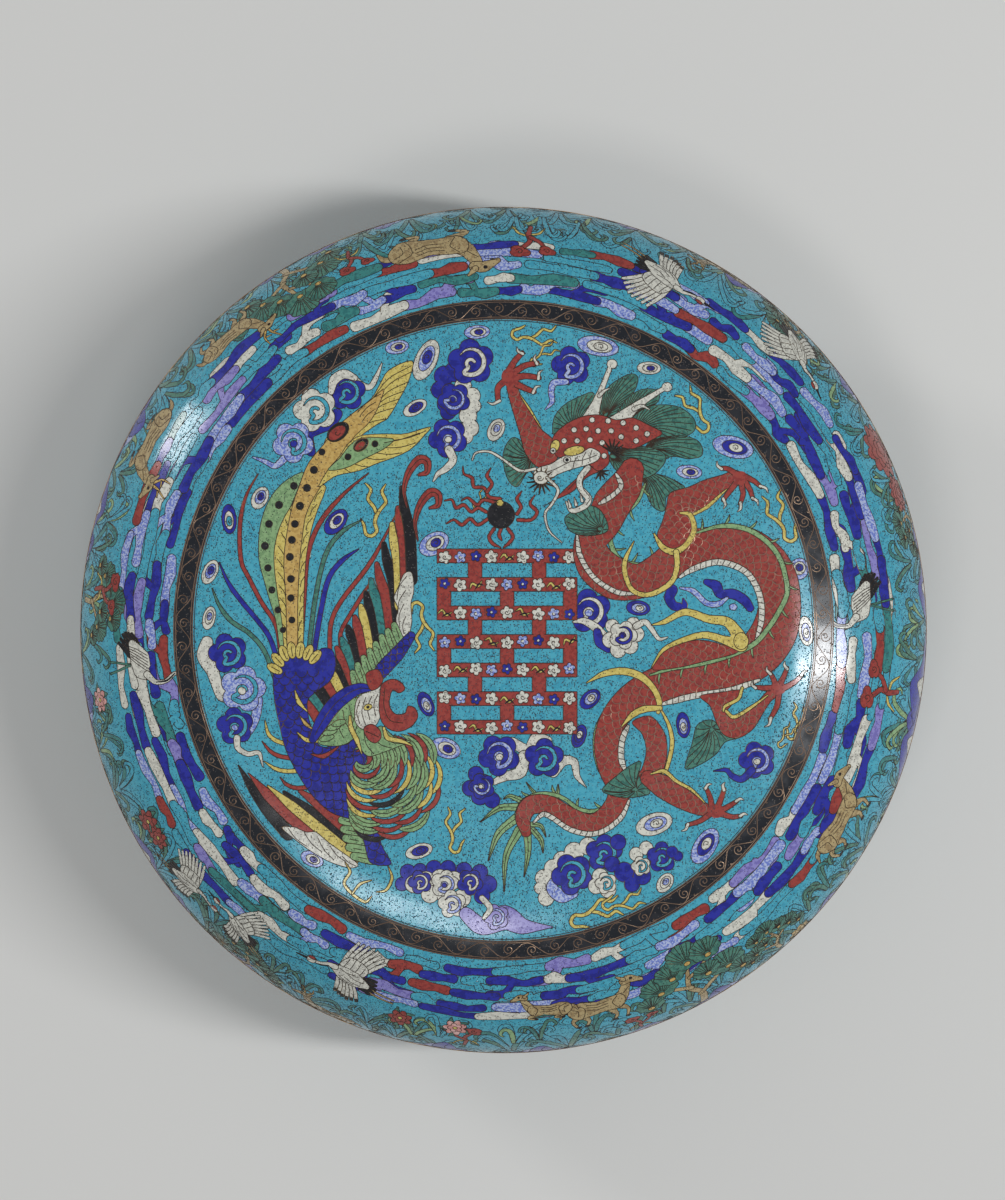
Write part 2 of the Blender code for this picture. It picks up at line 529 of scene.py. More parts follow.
def wire_tree():
    """Sweeps a low rounded ridge along every line of a mesh, square to the surface under it."""
    tree = bpy.data.node_groups.new("laid wire", "GeometryNodeTree")
    face = tree.interface
    face.new_socket("Geometry", in_out="INPUT", socket_type="NodeSocketGeometry")
    for label in ("Half width", "Proud", "Sunk"):
        face.new_socket(label, in_out="INPUT", socket_type="NodeSocketFloat")
    face.new_socket("Gilding", in_out="INPUT", socket_type="NodeSocketMaterial")
    face.new_socket("Geometry", in_out="OUTPUT", socket_type="NodeSocketGeometry")
    add, link = tree.nodes.new, tree.links.new
    given = add("NodeGroupInput").outputs

    def stored(label, kind):
        """What the mesh stores under a name at each of its points."""
        node = add("GeometryNodeInputNamedAttribute")
        node.data_type = kind
        node.inputs["Name"].default_value = label
        return node.outputs["Attribute"]

    def times(factor, value, more=None):
        node = add("ShaderNodeMath")
        node.operation = "MULTIPLY_ADD"
        link(value, node.inputs[0])
        node.inputs[1].default_value = factor
        node.inputs[2].default_value = 0.0
        if more is not None:
            link(more, node.inputs[2])
        return node.outputs[0]

    def after(source, kind, label="Geometry"):
        """A node that takes up the geometry where another leaves it."""
        node = add(kind)
        link(source, node.inputs[label])
        return node

    ridge = add("GeometryNodeCurveQuadraticBezier")
    ridge.inputs["Resolution"].default_value = 2
    under = times(-1.0, given["Sunk"])
    for label, height, side in (("Start", under, times(-1.0, given["Half width"])),
                                ("Middle", times(2.0, given["Proud"], given["Sunk"]), None),
                                ("End", under, given["Half width"])):
        corner = add("ShaderNodeCombineXYZ")
        link(height, corner.inputs["X"])
        if side is not None:
            link(side, corner.inputs["Y"])
        link(corner.outputs[0], ridge.inputs[label])
    path = after(given["Geometry"], "GeometryNodeMeshToCurve", "Mesh")
    square = after(path.outputs["Curve"], "GeometryNodeSetCurveNormal", "Curve")
    square.mode = "FREE"
    link(stored("surface_normal", "FLOAT_VECTOR"), square.inputs["Normal"])
    thick = after(square.outputs["Curve"], "GeometryNodeSetCurveRadius", "Curve")
    link(stored("wire_weight", "FLOAT"), thick.inputs["Radius"])
    sweep = after(thick.outputs["Curve"], "GeometryNodeCurveToMesh", "Curve")
    link(ridge.outputs["Curve"], sweep.inputs["Profile Curve"])
    shade = after(sweep.outputs["Mesh"], "GeometryNodeSetShadeSmooth")
    whole = after(shade.outputs["Geometry"], "GeometryNodeRealizeInstances")
    finish = after(whole.outputs["Geometry"], "GeometryNodeSetMaterial")
    link(given["Gilding"], finish.inputs["Material"])
    after(finish.outputs["Geometry"], "NodeGroupOutput")
    return tree


def socket_key(tree, label):
    return next(item.identifier for item in tree.interface.items_tree
                if item.name == label and item.in_out == "INPUT")


def laid_wires(name, runs, sheet, gilding):
    """One piece of wire work from lines on a sheet."""
    flat = np.vstack([run for run, _ in runs])
    weights = np.concatenate([np.full(len(run), weight) for run, weight in runs])
    edges = []
    first = 0
    for run, _ in runs:
        edges.extend((first + index, first + index + 1) for index in range(len(run) - 1))
        first += len(run)
    places, normals = sheet.lay(flat)
    paths = bpy.data.meshes.new(name + "_paths")
    paths.from_pydata(places.tolist(), edges, [])
    attribute = paths.attributes.new("surface_normal", "FLOAT_VECTOR", "POINT")
    attribute.data.foreach_set("vector", normals.astype(np.float32).ravel())
    attribute = paths.attributes.new("wire_weight", "FLOAT", "POINT")
    attribute.data.foreach_set("value", weights.astype(np.float32))
    carrier = bpy.data.objects.new(name + "_paths", paths)
    bpy.context.scene.collection.objects.link(carrier)
    modifier = carrier.modifiers.new("wire", "NODES")
    modifier.node_group = laying
    modifier[socket_key(laying, "Half width")] = WIRE_HALF_WIDTH
    modifier[socket_key(laying, "Proud")] = WIRE_PROUD
    modifier[socket_key(laying, "Sunk")] = WIRE_SUNK
    modifier[socket_key(laying, "Gilding")] = gilding
    settled = bpy.context.evaluated_depsgraph_get()
    mesh = bpy.data.meshes.new_from_object(carrier.evaluated_get(settled))
    bpy.data.objects.remove(carrier)
    for stray in [a.name for a in mesh.attributes if a.name in ("surface_normal", "wire_weight")]:
        mesh.attributes.remove(mesh.attributes[stray])
    bake_map(mesh, sheet)
    mesh.name = name
    piece = bpy.data.objects.new(name, mesh)
    bpy.context.scene.collection.objects.link(piece)
    return piece


# Small motifs that the picture repeats

def pebble(d, x, y, wide, high, turn, rim, middle, eye):
    """A drifting oval cloud: a rim, a smaller oval in it and a curled line."""
    d.oval(x, y, wide, high, rim, turn=turn)
    with d.at(x, y, turn):
        d.oval(wide * 0.08, 0, wide * 0.62, high * 0.62, middle, 0.75)
        heart = d.oval(wide * 0.14, 0, wide * 0.34, high * 0.4, eye, 0.7)
        d.line(spiral(wide * 0.14, 0, high * 0.3, 1.0, 200), 0.6, heart)


def lobed(radius, lobes=5, depth=0.16):
    """A lobed outline round the origin."""
    angles = np.linspace(0, TURN, lobes * 9, endpoint=False)
    reach = radius * (1 - depth + depth * 1.7 * np.abs(np.sin(angles * lobes / 2)) ** 0.8)
    return np.column_stack([np.cos(angles) * reach, np.sin(angles) * reach])


def cloud(d, x, y, radius, turn, body, curl, heart=None):
    """A lobed cloud head with a curled band in it that ends in a spiral."""
    with d.at(x, y, turn):
        d.cell(lobed(radius), body)
        outer = [(radius * 0.62 * math.cos(a), radius * 0.62 * math.sin(a))
                 for a in np.linspace(math.radians(200), math.radians(470), 9)]
        inner = [(radius * 0.2 * math.cos(a), radius * 0.2 * math.sin(a) + radius * 0.08)
                 for a in np.linspace(math.radians(470), math.radians(680), 6)]
        d.band(outer + inner, [
            radius * 0.05, radius * 0.2, radius * 0.24, radius * 0.22, radius * 0.16], curl, 0.85)
        if heart:
            d.oval(0, radius * 0.1, radius * 0.2, radius * 0.18, heart, 0.6)


def lumps(d, spots, enamel):
    """Rounded cloud lumps that run into one another."""
    for x, y, radius in spots:
        d.oval(x, y, radius, radius, enamel)
    for x, y, radius in spots:
        d.oval(x, y, radius - 0.9, radius - 0.9, enamel, 0.0)


def flame(d, points, widths, enamel="yellow"):
    d.band(points, widths, enamel, 0.8, 1.2)


def wisp(d, x, y, turn, size=1.0, mirrored=False):
    """A thin yellow cloud streamer: two wavy strands that join and end in a hook."""
    with d.at(x, y, turn, size, mirrored):
        flame(d, [(-12, -30), (-6, -23), (-9, -14), (-3, -6), (0, 2)], [1.4, 3.4, 3.4, 3.6, 3.0])
        flame(d, [
            (9, -29), (5, -21), (9, -11), (3, -3), (-1, 4), (-2, 11), (0, 18), (-5, 23), (-11, 21),
            (-13, 12), (-16, 6)], [1.4, 3.4, 3.4, 3.6, 4.0, 3.6, 3.6, 3.8, 3.6, 3.2, 1.4])


def blossom(d, x, y, radius, turn, petals, heart):
    with d.at(x, y, turn):
        d.cell(lobed(radius, 5, 0.26), petals, 0.7)
        d.line(spiral(0, 0, radius * 0.45, 1.1), 0.6)
        if heart:
            d.oval(0, 0, radius * 0.24, radius * 0.24, heart, 0.0)


def scales(d, cell, points, widths, pitch=8.2, wire=0.6, bright=True):
    """Rows of overlapping scale arcs along a body, kept inside its cell."""
    line = smooth(points, step=1.0)
    side = sideways(line)
    share = place_shares(points, line)
    width = np.interp(np.arange(len(line)), share, widths)
    ahead = np.column_stack([side[:, 1], -side[:, 0]])
    arc = np.linspace(-math.pi / 2, math.pi / 2, 7)
    for row, index in enumerate(np.arange(4, len(line) - 2, pitch * 0.62).astype(int)):
        count = int(width[index] / pitch) + 2
        offset = 0.5 if row % 2 else 0.0
        for place in range(-count, count + 1):
            across = (place + offset) * pitch
            if abs(across) > width[index] / 2 + pitch * 0.3:
                continue
            middle = line[index] + side[index] * across
            curve = (middle[None] + side[index][None] * (np.sin(arc) * pitch * 0.5)[:, None]
                     + ahead[index][None] * (np.cos(arc) * pitch * 0.55)[:, None])
            d.line(curve, wire, cell, bright)


def place_shares(points, line):
    """Where each of the points lies on the line, as an index."""
    found, last = [], 0
    for point in np.array(points, float):
        gaps = np.hypot(*(line[last:] - point).T)
        reach = max(3, len(gaps) // 2) if len(found) else 1
        step = int(np.argmin(gaps[:reach + 1])) if len(found) else 0
        last = min(last + step, len(line) - 1)
        found.append(last)
    found[-1] = len(line) - 1
    return np.maximum.accumulate(np.array(found) + np.arange(len(found)) * 1e-6)


def belly(d, points, width):
    """The pale ribbed edge of the body."""
    cell = d.band(points, [width * 0.5] + [width] * 6 + [width * 0.5], "white", 0.8)
    line = smooth(points, step=1.0)
    out = sideways(line)
    for index in range(4, len(line) - 3, 6):
        slant = min(len(line) - 1, index + 2)
        d.line([line[index] + out[index] * width / 2, line[slant] - out[slant] * width / 2], 0.55, cell)


def fringe(d, points, width, spikes, side=1, every=24):
    """A fin along the back, with fine spikes standing out of it."""
    line = smooth(points, step=1.0)
    out = sideways(line) * side
    for index in range(8, len(line) - 6, every):
        root = line[index] + out[index] * width * 0.3
        lean = line[min(len(line) - 1, index + 3)] - line[index]
        tip = root + out[index] * spikes + lean * 0.8
        flame(d, [root - lean * 0.5, (root + tip) / 2, tip], [2.6, 2.0, 0.5], "sage")
    d.band(points, [width * 0.4] + [width] * 8 + [width * 0.4], "sage", 0.8)


def strokes(d, cell, starts, ends, bend=0.0, wire=0.6):
    """Fine lines from one edge to another, such as the barbs of a feather or locks of hair."""
    for start, end in zip(np.array(starts, float), np.array(ends, float)):
        way = end - start
        middle = (start + end) / 2 + np.array([-way[1], way[0]]) * bend
        d.curve([start, middle, end], wire, cell)


def spread(line, count):
    """Evenly spaced points along a line of points."""
    line = smooth(line, step=1.0)
    marks = np.linspace(0, 1, count) * (len(line) - 1)
    return line[np.round(marks).astype(int)]


def mane_lock(d, outline, root, tip_count=7):
    """A lock of the mane with hair lines running from its root to its rim."""
    shape = smooth(outline, closed=True)
    cell = d.cell(shape, "pine")
    root = np.array(root, float)
    for spot in shape[::max(2, len(shape) // (tip_count * 3))]:
        middle = (spot + root) / 2 + (spot - root)[::-1] * (0.06, -0.06)
        d.curve([root + (spot - root) * 0.12, middle, root + (spot - root) * 0.95], 0.5, cell, step=2.0)


def finger(d, points, widths, claw):
    d.band(points, widths, "red", 0.8, 1.2)
    end = np.array(points[-1], float)
    claw = np.array(claw, float)
    way = claw - end
    middle = (end + claw) / 2 + np.array([way[1], -way[0]]) * 0.25
    d.band([end - way * 0.15, middle, claw], [3.4, 2.8, 0.7], "white", 0.75, 1.0)


def paw(d, palm, fingers):
    """Clawed fingers, and the palm that covers their roots."""
    for points, widths, claw in fingers:
        finger(d, points, widths, claw)
    d.cell(oval(*palm), "red", 0.0)


def tuft(d, x, y, reach, spikes, first, last):
    """A spray of short pointed hairs."""
    for angle in np.radians(np.linspace(first, last, spikes)):
        tip = (x + math.cos(angle) * reach, y + math.sin(angle) * reach)
        d.band([(x, y), tip], [2.6, 0.5], "black", 0.5)


# The roundel

def ruff(d):
    """The phoenix's ruff: rings of narrow curved feathers that overlap and run to a point at both ends."""
    chance = np.random.default_rng(7)
    tones = ("sage", "sage", "red", "sage", "yellow", "sage", "black", "sage", "red")
    for ring in range(9, -1, -1):
        middle = np.array([362 + 1.9 * ring, 760 + 2.0 * ring])
        radius = 8 + 5.3 * ring
        first, last = 166 - 5 * ring, -62 + 3 * ring
        count = 2 + ring // 2
        span = (first - last) / count
        for feather in range(count):
            start = math.radians(first - span * (feather + float(chance.uniform(-0.1, 0.1))))
            end = start - math.radians(span * 1.55)
            share = np.linspace(0, 1, 7)
            reach = radius * (1.0 + 0.10 * np.sin(share * math.pi)) + (share - 0.5) * 5.0
            angle = start + (end - start) * share
            curve = middle + np.column_stack([np.cos(angle) * reach, np.sin(angle) * reach])
            tone = tones[int(chance.integers(len(tones)))]
            fat = 7.8 if tone == "sage" else 5.0
            cell = d.band(curve, [0.8, fat * 0.7, fat, fat, fat * 0.9, fat * 0.6, 0.8], tone, 0.8, 1.2)
            if tone == "sage":
                d.line(curve[1:-1], 0.45, cell)


def phoenix(d):
    """The phoenix on the left, head down, with its tail streaming up."""
    for points, enamel, width in (
        ([(258, 474), (246, 496), (240, 524), (241, 560), (249, 578), (262, 603), (276, 625), (281, 655)],
         "red", 4.2),
        ([(219, 562), (229, 584), (243, 603), (258, 621), (270, 638), (279, 665)], "cobalt", 4.6),
        ([(212, 588), (219, 605), (231, 621), (249, 633), (264, 650), (275, 678)], "pine", 4.4),
        ([(369, 473), (347, 491), (326, 514), (314, 535), (307, 560), (304, 601), (300, 655)], "red", 4.6),
        ([(362, 520), (342, 532), (326, 554), (315, 601), (308, 660)], "pine", 4.4),
        ([(359, 549), (343, 560), (329, 578), (321, 611), (313, 660)], "cobalt", 5.0),
        ([(397, 513), (371, 562), (342, 600), (331, 624), (330, 660)], "red", 4.4),
        ([(372, 580), (352, 612), (341, 632), (341, 648)], "red", 4.0),
    ):
        d.band(points, [1.0, width, width, width, width], enamel, 0.85)

    d.shape([
        (303, 472), (284, 482), (271, 497), (263, 515), (259, 535), (259, 560), (264, 580), (270, 601),
        (276, 621), (281, 652), (289, 652), (284, 600), (279, 560), (281, 530), (292, 504), (299, 486)],
        "sage")
    comb = d.shape([
        (296, 500), (283, 520), (276, 540), (274, 560), (277, 590), (282, 621), (286, 654), (302, 654),
        (304, 600), (306, 560), (311, 532), (317, 512), (326, 488), (318, 486), (306, 496)], "yellow")
    strokes(
        d, comb, spread([(290, 508), (278, 545), (279, 590), (286, 650)], 12),
        spread([(293, 530), (286, 568), (287, 610), (290, 660)], 12), -0.1)
    strokes(
        d, comb, spread([(322, 490), (308, 535), (304, 590), (300, 650)], 12),
        spread([(314, 502), (302, 548), (300, 606), (297, 660)], 12), 0.1)

    fan = d.shape([
        (412, 361), (389, 370), (379, 386), (371, 399), (352, 414), (336, 428), (324, 444), (330, 470),
        (342, 458), (356, 440), (378, 424), (388, 418), (400, 398), (409, 380)], "yellow")
    strokes(d, fan, [
        (372, 400), (374, 404), (372, 410), (368, 416), (366, 420), (362, 426), (356, 432)],
        [(411, 366), (411, 372), (408, 382), (404, 391), (399, 399), (394, 408), (387, 419)], -0.1)
    main = d.shape([
        (384, 389), (371, 400), (352, 414), (336, 428), (324, 444), (308, 464), (299, 487), (293, 504),
        (288, 527), (284, 560), (286, 600), (288, 654), (297, 654), (298, 600), (300, 560), (303, 532),
        (307, 512), (318, 491), (332, 471), (342, 455), (354, 437), (368, 424), (377, 410)], "ochre")
    strokes(d, main, [(381, 394), (376, 402), (374, 410)], [(358, 412), (360, 416), (362, 422)], 0.08)

    second = d.shape([
        (319, 487), (328, 470), (340, 456), (348, 444), (360, 436), (384, 434), (405, 434), (430, 427),
        (424, 436), (410, 450), (393, 458), (376, 464), (359, 471), (336, 476)], "yellow")
    strokes(d, second, [
        (388, 441), (384, 448), (376, 453), (366, 458), (354, 464), (344, 468)],
        [(426, 431), (416, 443), (402, 453), (386, 459), (370, 467), (352, 473)], 0.06)
    d.shape([
        (328, 470), (340, 458), (350, 445), (362, 438), (384, 438), (394, 440), (384, 449), (366, 458),
        (346, 468)], "sage", 0.8)
    d.line([(384, 443), (400, 440), (420, 433)], 0.6)
    for x, y, wide, high in ((338, 432, 12.5, 8), (361, 445, 8.5, 5.5)):
        d.oval(x, y, wide, high, "black", 0.8, -38)
        eye = d.oval(x - 1, y + 1, wide - 2.4, high - 2.2, "red", 0.7, -38)
        d.line(spiral(x - 1, y + 1, high * 0.4, 0.8), 0.6, eye)
    for x, y, radius in (
        (322, 452, 3.2), (314, 470, 3.8), (307, 488, 3.8), (300, 506, 3.9), (295, 524, 3.6),
        (292, 540, 3.7), (290, 557, 3.7), (291, 579, 3.6), (291, 598, 3.4), (292, 620, 3.2),
        (294, 486, 3.6), (279, 505, 3.8), (269, 524, 3.6), (265, 546, 3.7), (268, 568, 3.4),
        (272, 590, 3.3), (278, 610, 3.2), (283, 630, 2.8), (375, 444, 3.2), (348, 457, 3.2),
    ):
        d.oval(x, y, radius, radius, "black", 0.7, count=12)

    feathers = (
        ("red", (306, 701), (320, 722)), ("teal", (309, 692), (327, 714)),
        ("black", (314, 684), (333, 709)), ("red", (321, 675), (340, 703)),
        ("yellow", (327, 667), (345, 697)), ("black", (334, 658), (351, 690)),
        ("red", (337, 648), (354, 683)), ("teal", (342, 639), (357, 674)),
        ("black", (348, 627), (361, 664)), ("red", (355, 617), (365, 656)),
        ("yellow", (361, 606), (372, 648)), ("black", (366, 593), (379, 644)),
        ("teal", (371, 580), (385, 640)), ("red", (377, 564), (392, 636)),
        ("black", (384, 544), (399, 628)), ("yellow", (392, 524), (400, 606)),
        ("red", (398, 508), (406, 584)), ("black", (402, 488), (412, 580)))
    for enamel, tip, root in feathers:
        tip, root = np.array(tip, float), np.array(root, float)
        way = root - tip
        middle = (tip + root) / 2 + np.array([way[1], -way[0]]) * 0.03
        d.band([tip, tip + way * 0.2, middle, root], [5.0, 9.5, 11.0, 11.0], enamel, 0.85)
    white = d.shape([
        (404, 574), (412, 573), (414, 590), (411, 604), (412, 622), (408, 636), (400, 634), (396, 620),
        (398, 608), (394, 598), (398, 588)], "white")
    strokes(d, white, [
        (407, 576), (406, 590), (404, 604), (406, 616)], [(397, 600), (398, 614), (400, 628), (404, 634)],
        0.12)
    for x, y, reach in (
        (397, 634, 9), (391, 641, 10), (385, 648, 11), (379, 655, 11), (373, 662, 11), (367, 669, 11),
        (361, 676, 11), (356, 683, 10),
    ):
        lobe = d.band([
            (x - reach * 0.3, y - reach), (x, y), (x + reach * 0.45, y + reach * 0.9)], [6.5, 9.0, 8.0],
            "sage", 0.75)
        d.line([(x - reach * 0.1, y - reach * 0.7), (x + reach * 0.3, y + reach * 0.5)], 0.45, lobe)
    wing = [(372, 684), (384, 668), (398, 653), (411, 636)]
    cell = d.band(wing, [9, 15, 14, 9], "cobalt")
    scales(d, cell, wing, [9, 15, 14, 9], 8.0, 0.5, False)

    for enamel, points, widths in (
        ("black", [(238, 765), (252, 788), (268, 810), (288, 834)], [1, 9, 13, 13]),
        ("red", [(248, 773), (268, 795), (287, 813), (308, 832)], [1, 11, 13, 13]),
        ("black", [(284, 792), (306, 809), (326, 826), (350, 846)], [3, 11, 13, 13]),
        ("red", [(300, 791), (320, 805), (336, 818), (352, 832)], [4, 12, 14, 14]),
        ("yellow", [(268, 786), (292, 806), (320, 829), (356, 858)], [2, 10, 11, 10]),
    ):
        d.band(points, widths, enamel, 0.85)
    white = d.shape([
        (282, 828), (294, 827), (306, 832), (316, 832), (328, 842), (342, 852), (358, 864), (350, 868),
        (330, 862), (312, 852), (298, 842)], "white")
    strokes(d, white, [
        (288, 828), (304, 832), (318, 838), (330, 846), (342, 856)],
        [(306, 846), (322, 852), (334, 860), (346, 862), (356, 866)], 0.08)
    for x, y in ((351, 822), (353, 831), (355, 840), (358, 849), (363, 858)):
        lobe = d.band([(x - 9, y - 2), (x, y), (x + 9, y + 2)], [8.0, 9.4, 9.4], "sage", 0.75)
        d.line([(x - 5, y - 1), (x + 4, y + 1)], 0.45, lobe)

    for enamel, points in (
        ("yellow", [(265, 720), (268, 733), (275, 740), (286, 744)]),
        ("red", [(262, 741), (270, 751), (279, 756), (290, 758)]),
        ("yellow", [(264, 761), (274, 768), (284, 771), (297, 771)]),
        ("red", [(280, 777), (286, 784), (296, 788), (309, 787)]),
    ):
        flame(d, points, [0.8, 3.6, 4.2, 4.2], enamel)

    body = d.shape([
        (273, 678), (275, 703), (280, 727), (286, 750), (298, 774), (312, 795), (329, 811), (343, 817),
        (358, 823), (365, 846), (371, 863), (391, 864), (382, 846), (377, 828), (366, 818), (355, 801),
        (351, 785), (359, 773), (367, 757), (361, 743), (344, 737), (328, 747), (317, 743), (312, 729),
        (308, 714), (308, 700), (317, 691), (330, 681), (336, 666), (333, 651), (323, 648), (312, 655),
        (298, 650), (284, 654), (275, 664)], "cobalt")
    spine = [(290, 668), (292, 700), (298, 735), (318, 770), (340, 790), (362, 815), (374, 845), (384, 866)]
    scales(d, body, spine, [60, 48, 60, 84, 84, 40, 26, 20], 11.5, 0.5, False)
    for angle, reach in ((-62, 24), (-42, 27), (-24, 29), (-8, 30), (8, 30), (24, 30), (40, 30)):
        turn = math.radians(angle)
        x, y = 296 + math.sin(turn) * reach, 680 - math.cos(turn) * reach
        petal = d.oval(x, y, 4.6, 8.6, "yellow", 0.8, angle)
        with d.at(x, y, angle):
            d.line([(0, 6), (0, -4)], 0.5, petal)
    for enamel, points, widths in (
        ("yellow", [(295, 690), (299, 702), (308, 712)], [1, 5, 1]),
        ("ochre", [(300, 716), (306, 724), (314, 730)], [1, 4, 1]),
        ("yellow", [(297, 732), (307, 740), (324, 741)], [1, 4.5, 3]),
        ("red", [(311, 754), (324, 756), (338, 747)], [1, 5, 2]),
    ):
        flame(d, points, widths, enamel)
    nape = d.shape([
        (318, 742), (326, 728), (338, 712), (350, 700), (362, 698), (366, 716), (360, 732), (346, 744),
        (330, 746)], "sage", 0.8)
    strokes(d, nape, [(338, 716), (343, 710), (349, 705)], [(344, 738), (352, 732), (358, 724)], 0.1)
    for x, y in ((327, 738), (330, 732), (334, 727), (339, 723)):
        d.oval(x, y, 7.5, 3.2, "sage", 0.7, -16)
    crest = [(313, 739), (322, 722), (334, 705), (349, 693), (362, 688), (374, 690)]
    cell = d.band(crest, [8, 14, 15, 14, 10, 5], "cobalt")
    d.line(smooth(crest)[3:-3], 0.6, cell)

    ruff(d)
    throat = d.shape([
        (355, 718), (352, 730), (358, 744), (368, 756), (384, 752), (402, 745), (411, 741), (396, 738),
        (382, 726), (374, 730), (362, 728)], "sage")
    strokes(d, throat, [
        (358, 722), (364, 732), (374, 738), (384, 738)], [(358, 748), (374, 754), (392, 748), (408, 743)],
        0.12)
    flame(d, [(350, 716), (351, 728), (357, 740), (362, 754)], [2, 5, 5, 1])
    flame(d, [(384, 728), (388, 738), (402, 741), (413, 746)], [3, 5, 4, 1])
    face = d.shape([
        (356, 702), (362, 694), (374, 690), (382, 686), (385, 700), (381, 716), (374, 727), (362, 729),
        (355, 720)], "white")
    strokes(d, face, [
        (360, 700), (366, 697), (372, 696), (378, 694)], [(360, 724), (366, 726), (370, 720), (376, 716)],
        0.14)
    d.shape([
        (367, 683), (366, 674), (372, 670), (379, 670), (383, 680), (378, 688), (371, 690)], "red", 0.85)
    comb = d.shape([
        (382, 684), (392, 679), (401, 682), (405, 689), (399, 693), (393, 690), (390, 697), (390, 707),
        (396, 714), (405, 713), (408, 706), (415, 708), (418, 716), (413, 725), (402, 731), (391, 730),
        (382, 722), (379, 708), (380, 694)], "red")
    d.curve([(385, 688), (384, 706), (390, 720), (403, 723)], 0.55, comb)
    beak = d.shape([(364, 728), (372, 724), (380, 730), (381, 738), (375, 743), (367, 738)], "red", 0.85)
    d.line([(366, 731), (379, 737)], 0.6, beak)
    d.oval(368, 707, 4.4, 3.0, "yellow", 0.7, -20)
    d.oval(368, 707, 1.7, 1.7, "black", 0.0, count=10)

    for dx, dy in ((0, 0), (11, 33)):
        plume = [
            (407 + dx, 508 + dy), (404 + dx, 490 + dy), (409 + dx, 472 + dy), (419 + dx, 460 + dy),
            (427 + dx, 462 + dy), (427 + dx, 472 + dy), (419 + dx, 475 + dy)]
        d.band(plume, [1.2, 4, 7, 9, 8, 6, 3], "red", 0.85)
        d.line(smooth(plume)[4:-4], 0.5)
    flame(d, [(345, 862), (350, 872), (344, 883), (352, 894), (365, 902), (372, 896)], [1, 3, 3, 3, 3, 1])
    flame(d, [(388, 866), (392, 878), (386, 890), (376, 892)], [1, 3, 3, 1])
    flame(d, [(352, 894), (360, 884), (372, 880)], [2, 3, 1])


